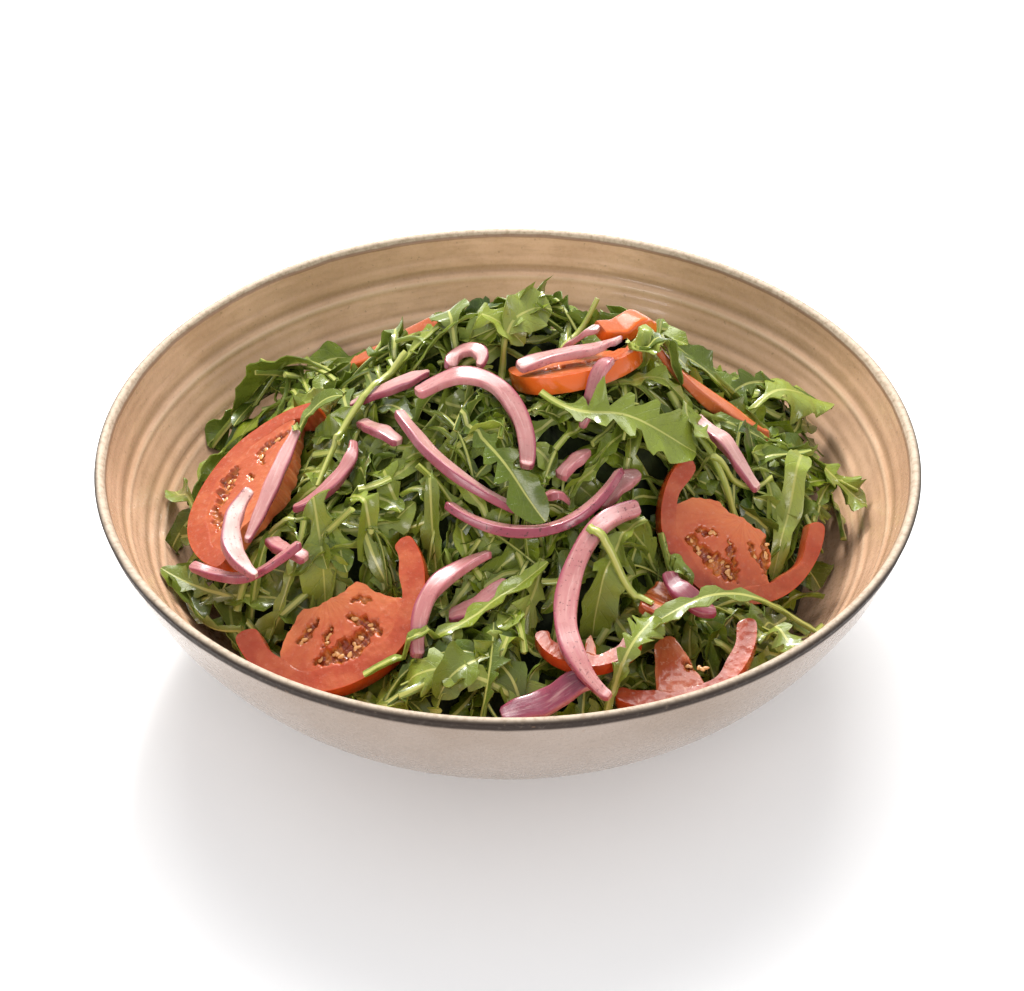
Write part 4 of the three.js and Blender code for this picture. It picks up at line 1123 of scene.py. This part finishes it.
def leaf_sheets(kind, middle, v, roll, fold, width, curl, rng):
    """Top and underside of a leaf along its middle line, and values for its look.

    v are the places across it, from -1 at the right edge to 1 at the left. roll turns each row about
    the middle line, fold raises both halves and curl bends them more with each millimetre.
    """
    share = np.linspace(0, 1, len(middle))
    tangent = unit(np.gradient(middle, axis=0))
    side = unit(np.cross([0, 0, 1.0], tangent))
    up = np.cross(tangent, side)
    turn = np.radians(roll)[:, None]
    side, up = side * np.cos(turn) + up * np.sin(turn), up * np.cos(turn) - side * np.sin(turn)
    phase = rng.uniform(0, 6.28, 5)
    state = rng.bit_generator.state
    left = half_widths(kind, width, share, rng)
    if kind == "stem":
        rng.bit_generator.state = state
    right = half_widths(kind, width, share, rng)
    away = np.where(v < 0, right[:, None], left[:, None]) * np.abs(v)
    fold = np.radians(fold)
    bend = fold + np.radians(curl) * away * (1 + 0.6 * np.sin(5 * share + phase[3]))[:, None]
    length = np.concatenate([[0], np.cumsum(np.linalg.norm(np.diff(middle, axis=0), axis=1))])
    middle_angle = (fold + bend) / 2
    out = away * np.sinc((bend - fold) / (2 * math.pi)) * np.cos(middle_angle) * np.sign(v)
    rise = away * np.sin(middle_angle)
    sweep = 0.1
    if kind != "stem":
        way = 2 * math.pi / rng.uniform(8, 13) * length[:, None]
        ruffle = np.sin(way + np.where(v > 0, phase[0], phase[1]))
        ruffle = ruffle + 0.5 * np.sin(2.3 * way + np.where(v > 0, phase[2], phase[4]))
        rise = rise + rng.uniform(0.10, 0.26) * away * ruffle * np.abs(v) ** 0.8
    if kind == "lobed":
        sweep = rng.uniform(0.15, 0.5) * smooth_step(share, 0.95, 0.7)[:, None]
    sweep = sweep * away * np.clip(1 - np.exp(-away / 3), 0, 1)
    middle_sheet = (
        middle[:, None]
        + side[:, None] * out[..., None]
        + up[:, None] * rise[..., None]
        + tangent[:, None] * np.broadcast_to(sweep, out.shape)[..., None]
    )
    rib = MIDRIB * (1 - 0.75 * share)
    if kind == "stem":
        rib = left
    round_rib = np.sqrt(np.clip(1 - (away / (rib[:, None] * 1.02)) ** 2, 0, 1))
    thick = LEAF_EDGE / 2 + round_rib * (rib[:, None] * 0.9 - LEAF_EDGE / 2).clip(0)
    above = 0.9 if kind == "stem" else 0.35
    top = middle_sheet + up[:, None] * (LEAF_EDGE / 2 + (thick - LEAF_EDGE / 2) * above)[..., None]
    bottom = middle_sheet - up[:, None] * thick[..., None]
    values = {
        "along": np.repeat(length, len(v)),
        "across": (away * np.sign(v)).ravel(),
        "rib": np.repeat(np.maximum(rib * 0.62, 0.2), len(v)),
    }
    return top, bottom, values


OUT_OF_REACH = 200.0  # height where nothing limits a leaf
UNDER_TOPPING = 0.6  # gap between a topping and the leaves below it
OVER_OUTLINE = 3.5  # how far leaves may stand out of the heap's outline


class Pile:
    """The heights that leaves are laid between: what is below them, and the toppings over them.

    outline is the heap's own surface, surface what lies there so far. ceiling and lid are the
    highest that a leaf may be under the toppings: the first keeps it well down all about them.
    """

    def __init__(self, solids):
        radius = np.hypot(GRID_X, GRID_Y)
        self.bowl = np.where(radius < INNER_RADIUS - 0.8, bowl_inside(radius + 0.8) + 0.4, OUT_OF_REACH)
        tree = surface_of("salad_heap")
        outline = [[height_at(tree, x, y) for y in AXIS[::2]] for x in AXIS[::2]]
        outline = np.nan_to_num(np.array(outline), nan=HEAP_EDGE)
        outline = np.repeat(np.repeat(outline, 2, 0), 2, 1)[:COUNT, :COUNT]
        self.outline = blurred(outline, 8)
        tops = np.full_like(self.bowl, -np.inf)
        lows = np.full_like(self.bowl, np.inf)
        for points in solids:
            i, j = cell_of(points[:, 0]), cell_of(points[:, 1])
            np.maximum.at(tops, (i, j), points[:, 2])
            np.minimum.at(lows, (i, j), points[:, 2])
        for di, dj in SIDES:
            tops = np.maximum(tops, shifted(tops, di, dj, -np.inf))
            lows = np.minimum(lows, shifted(lows, di, dj, np.inf))
        self.tops = tops
        lows = np.where(np.isinf(lows), OUT_OF_REACH, lows - UNDER_TOPPING)
        self.ceiling = spread_low(lows, 2.0, 26)
        self.lid = spread_low(lows, 6.0, 8)
        self.core = np.minimum(self.outline - CORE_DEPTH, self.ceiling - 9)
        self.surface = np.maximum(self.core, np.minimum(self.bowl, BOWL["height"]) + 0.3)

    def slope(self, x, y, reach):
        """Slope of the outline about a point."""
        around = np.linspace(0, 2 * math.pi, 9)[:-1]
        px, py = x + reach * np.cos(around), y + reach * np.sin(around)
        z = sample(self.outline, px, py)
        gx, gy = (z * np.cos(around)).sum() / (4 * reach), (z * np.sin(around)).sum() / (4 * reach)
        return np.clip(gx, -1.1, 1.1), np.clip(gy, -1.1, 1.1)

    def fit(self, points, over=False):
        """The points kept in the bowl, and under the toppings unless they lie over them."""
        x, y, z = points[..., 0], points[..., 1], points[..., 2]
        if over:
            z = np.maximum(z, sample(np.where(np.isinf(self.tops), -100.0, self.tops), x, y) + 0.3)
        else:
            z = np.minimum(z, sample(self.lid, x, y))
        z = np.minimum(z, TOPMOST)
        reach = inside_reach(np.maximum(z, BOWL["floor"] + 2)) - 0.9
        reach = np.where(z > BOWL["height"] - 4, np.minimum(reach, INNER_RADIUS - 2.5), reach)
        radius = np.maximum(np.hypot(x, y), 1e-6)
        pull = np.minimum(1, reach / radius)
        return np.stack([x * pull, y * pull, z], axis=-1)

    def duck(self, top, bottom):
        """Both sheets of a leaf, each row lowered as a whole where it would reach into a topping."""
        excess = top[..., 2] - sample(self.lid, top[..., 0], top[..., 1])
        excess = np.clip(excess.max(axis=1), 0, None)
        for _ in range(2):
            excess = np.maximum(excess, np.maximum(np.roll(excess, 1), np.roll(excess, -1)) - 1.2)
        lower = np.array([0, 0, 1.0]) * evened(excess, 1).clip(0)[:, None, None]
        return top - lower, bottom - lower

    def raise_to(self, points):
        """Counts these points as the new surface where they are higher."""
        finer = (points[1:] + points[:-1]) / 2
        rows = np.concatenate([points, finer])
        for block in (rows, (rows[:, 1:] + rows[:, :-1]) / 2):
            flat = block.reshape(-1, 3)
            i, j = cell_of(flat[:, 0]), cell_of(flat[:, 1])
            np.maximum.at(self.surface, (i, j), flat[:, 2])


def settle_leaf(group, pile, sheets, tone, pale, over=False):
    """Adds a leaf, kept in the bowl and clear of the toppings, and counts it as part of the pile."""
    top, bottom, values = sheets
    if not over:
        top, bottom = pile.duck(top, bottom)
    top, bottom = pile.fit(top, over), pile.fit(bottom, over)
    pile.raise_to(top)
    points, faces = closed_sheet(top, bottom)
    doubled = {key: np.tile(value, 2) for key, value in values.items()}
    under = np.repeat([0.0, 1.0], len(points) // 2)
    group.add(points, faces, under=under, tone=tone, pale=pale, **doubled)


def lay_leaf(spec, pile, group, rng):
    """Lays one named leaf along its middle line, over what is there."""
    share = np.linspace(0, 1, LEAF_ROWS)
    x, y, side = middle_line(spec, share)
    surface = np.maximum(pile.surface, np.where(spec["over"], pile.tops, -np.inf))
    ground = sample(pile.outline, x, y)
    stand = spec["rise"] * smooth_step(share, 0, 0.3)
    stand = stand - (spec["rise"] - spec["tip"]) * smooth_step(share, 0.6, 1)
    below = sample(np.where(np.isinf(surface), 0, surface), x, y)
    heights = np.maximum(ground + stand - 2.5, below + 0.4)
    heights[:3] = np.minimum(heights[:3], ground[:3] - 1 + np.arange(3))
    for _ in range(40):
        middle = (heights[:-2] + heights[2:]) / 2
        heights[1:-1] = np.where(heights[1:-1] < middle, middle - 0.02, 0.5 * (heights[1:-1] + middle))
    heights = np.maximum(heights, below + 0.2) if spec["over"] else heights
    reach = max(spec["width"] / 2, 3)
    left, right = [
        sample(pile.outline, x + side[:, 0] * off, y + side[:, 1] * off) for off in (reach, -reach)
    ]
    bank = np.degrees(np.arctan(np.clip((left - right) / (2 * reach), -1.2, 1.2)))
    bank = np.convolve(np.pad(bank, 4, mode="edge"), np.ones(9) / 9, mode="valid")
    middle = np.stack([x, y, heights], axis=-1)
    roll = bank + spec["roll"] + rng.uniform(-14, 14) * np.sin(3 * share)
    curl = rng.uniform(-5, 3)
    shape = roll, spec["fold"], spec["width"], curl
    sheets = leaf_sheets(spec["kind"], middle, LEAF_COLUMNS, *shape, rng)
    settle_leaf(group, pile, sheets, rng.uniform(0, 1), spec["pale"], spec["over"])


def drop_leaf(kind, place, size, rest, pile, group, rng):
    """Lets a leaf of a random shape fall on the pile, unless the pile is high enough there."""
    shortest, longest, narrow, wide = FILLER_SIZES[kind]
    length, width = size * rng.uniform(shortest, longest), size * rng.uniform(narrow, wide)
    rows = FILLER_ROWS[kind]
    share = np.linspace(0, 1, rows)
    heading = np.radians(rng.uniform(0, 360) + rng.uniform(-90, 90) * (share - 0.5))
    pitch = np.radians(rng.uniform(-16, 16) - rng.uniform(-40, 110) * (share - 0.5))
    level = np.cos(pitch)
    tangent = np.stack([level * np.cos(heading), level * np.sin(heading), np.sin(pitch)], axis=-1)
    middle = np.cumsum(tangent * (length / (rows - 1)), axis=0)
    middle -= middle.mean(axis=0)
    gx, gy = pile.slope(*place, 9)
    middle[:, 2] += gx * middle[:, 0] + gy * middle[:, 1]
    middle[:, :2] += place
    bank = gy * np.cos(heading) - gx * np.sin(heading)
    roll = np.degrees(np.arctan(bank)) + rng.uniform(-50, 50) + rng.uniform(-100, 100) * (share - 0.5)
    fold, curl = rng.uniform(-5, 45), rng.uniform(-9, 9)
    sheets = leaf_sheets(kind, middle, FILLER_COLUMNS, roll, fold, width, curl, rng)
    top, bottom, _ = sheets
    gaps = sample(pile.surface, bottom[..., 0], bottom[..., 1]) - bottom[..., 2]
    drop = np.quantile(gaps, rest)
    top[..., 2] += drop
    bottom[..., 2] += drop
    x, y, z = np.moveaxis(top, -1, 0)
    room = np.minimum(sample(pile.outline, x, y) + OVER_OUTLINE, sample(pile.ceiling, x, y))
    if np.quantile(z - room, 0.85) <= 2.5:
        # The last value is the leaf's paleness: partly paler green, partly painted sheen.
        settle_leaf(group, pile, sheets, rng.uniform(0, 1), rng.uniform(0, 0.8) ** 1.6)


def make_leaves(pile, material):
    """The leaves that fall on the heap, and over them those that show most."""
    rng = np.random.default_rng(LEAF_DRAWS)
    groups = {kind: Parts() for kind in FILLER_SIZES}
    kinds, shares = list(FILLER_SHARES), list(FILLER_SHARES.values())
    for number in range(FILLER_TRIES):
        turn = number * FILLER_STRIDE % FILLER_TRIES
        share = math.sqrt((turn + 0.5) / FILLER_TRIES)
        angle = turn * GOLDEN_ANGLE
        kind = kinds[rng.choice(len(kinds), p=shares)]
        place = FILLER_REACH * share * np.array([math.cos(angle), math.sin(angle)])
        size = FILLER_SIZE[0] - (FILLER_SIZE[0] - FILLER_SIZE[1]) * number / FILLER_TRIES
        drop_leaf(kind, place, size, FILLER_REST, pile, groups[kind], rng)
    within = np.hypot(GRID_X, GRID_Y) < PATCH_REACH
    for _ in range(PATCH_TRIES):
        low = np.minimum(pile.outline, pile.lid) - pile.surface > PATCH_DEPTH
        i, j = rng.choice(np.argwhere(low & within))
        kind = kinds[rng.choice(len(kinds), p=shares)]
        drop_leaf(kind, (AXIS[i], AXIS[j]), PATCH_SIZE, PATCH_REST, pile, groups[kind], rng)
    for row in sorted(LEAVES, key=lambda row: row[-1]):
        spec = dict(zip(LEAF_KEYS, row))
        lay_leaf(spec, pile, groups[spec["kind"]], rng)
    for kind, parts in groups.items():
        parts.piece("rocket_" + kind, material, "salad_heap", crease=55)


def make_core(pile, material):
    """The dark heart of the heap, which shows only deep between the leaves."""
    turn = np.linspace(0, 2 * math.pi, CORE_SIDES, endpoint=False)
    reach = float(inside_reach(HEAP_EDGE - CORE_DEPTH)) - 1.5
    upper, lower = [], []
    for share in np.linspace(0.02, 1, CORE_RINGS):
        x, y = reach * share * np.cos(turn), reach * share * np.sin(turn)
        bed = float(bowl_inside(reach * share))
        upper.append(np.stack([x, y, np.maximum(sample(pile.core, x, y), bed + 1.2)], axis=-1))
        lower.append(np.stack([x, y, np.full(CORE_SIDES, bed + 0.4)], axis=-1))
    parts = Parts()
    parts.add(np.concatenate(upper + lower[::-1]), tube_faces(2 * CORE_RINGS, CORE_SIDES))
    parts.piece("rocket_heart", material, "salad_heap")


# ---- floor, light and camera ---------------------------------------------------------------------


def make_floor():
    mesh = bpy.data.meshes.new("floor")
    corners = [(x * FLOOR_HALF, y * FLOOR_HALF, 0) for x, y in ((-1, -1), (1, -1), (1, 1), (-1, 1))]
    mesh.from_pydata(corners, [], [(0, 1, 2, 3)])
    look = Look("floor_paper", emission_color=(1, 1, 1, 1), emission_strength=0.08)
    look.colour(look.mix(look.noise(40, 2), (0.90, 0.90, 0.90), (0.92, 0.92, 0.92)))
    look.roughness(0.9)
    mesh.materials.append(look.material)
    placed("floor", mesh)


def make_lights():
    world = bpy.data.worlds.new("studio")
    world.use_nodes = True
    background = world.node_tree.nodes["Background"]
    background.inputs["Color"].default_value = (*SKY_COLOUR, 1)
    background.inputs["Strength"].default_value = SKY_STRENGTH
    bpy.context.scene.world = world
    for name, place, size, power, colour in LIGHTS:
        light = bpy.data.lights.new(name, "AREA")
        light.shape = "RECTANGLE"
        light.size, light.size_y = size
        light.energy = power
        light.color = colour
        lamp = placed(name, light)
        lamp.location = place
        lamp.rotation_euler = (Vector(LIGHTS_AIM) - Vector(place)).to_track_quat("-Z", "Y").to_euler()


def make_camera():
    data = bpy.data.cameras.new("camera")
    data.lens, data.sensor_width = LENS, SENSOR
    camera = placed("camera", data)
    elevation = math.radians(CAMERA_ELEVATION)
    back = Vector((0, -math.cos(elevation), math.sin(elevation)))
    camera.location = (Vector(AIM) + back * CAMERA_DISTANCE) * MM
    camera.rotation_euler = (math.radians(90 - CAMERA_ELEVATION), 0, 0)
    bpy.context.scene.camera = camera
    bpy.context.scene.view_settings.view_transform = "Standard"


make_floor()
make_lights()
make_camera()
make_bowl(glaze_look())
toppings = make_tomatoes(tomato_look(), seed_look()) + make_onions(onion_look())
salad = Pile(toppings)
make_core(salad, core_look())
make_leaves(salad, leaf_look())
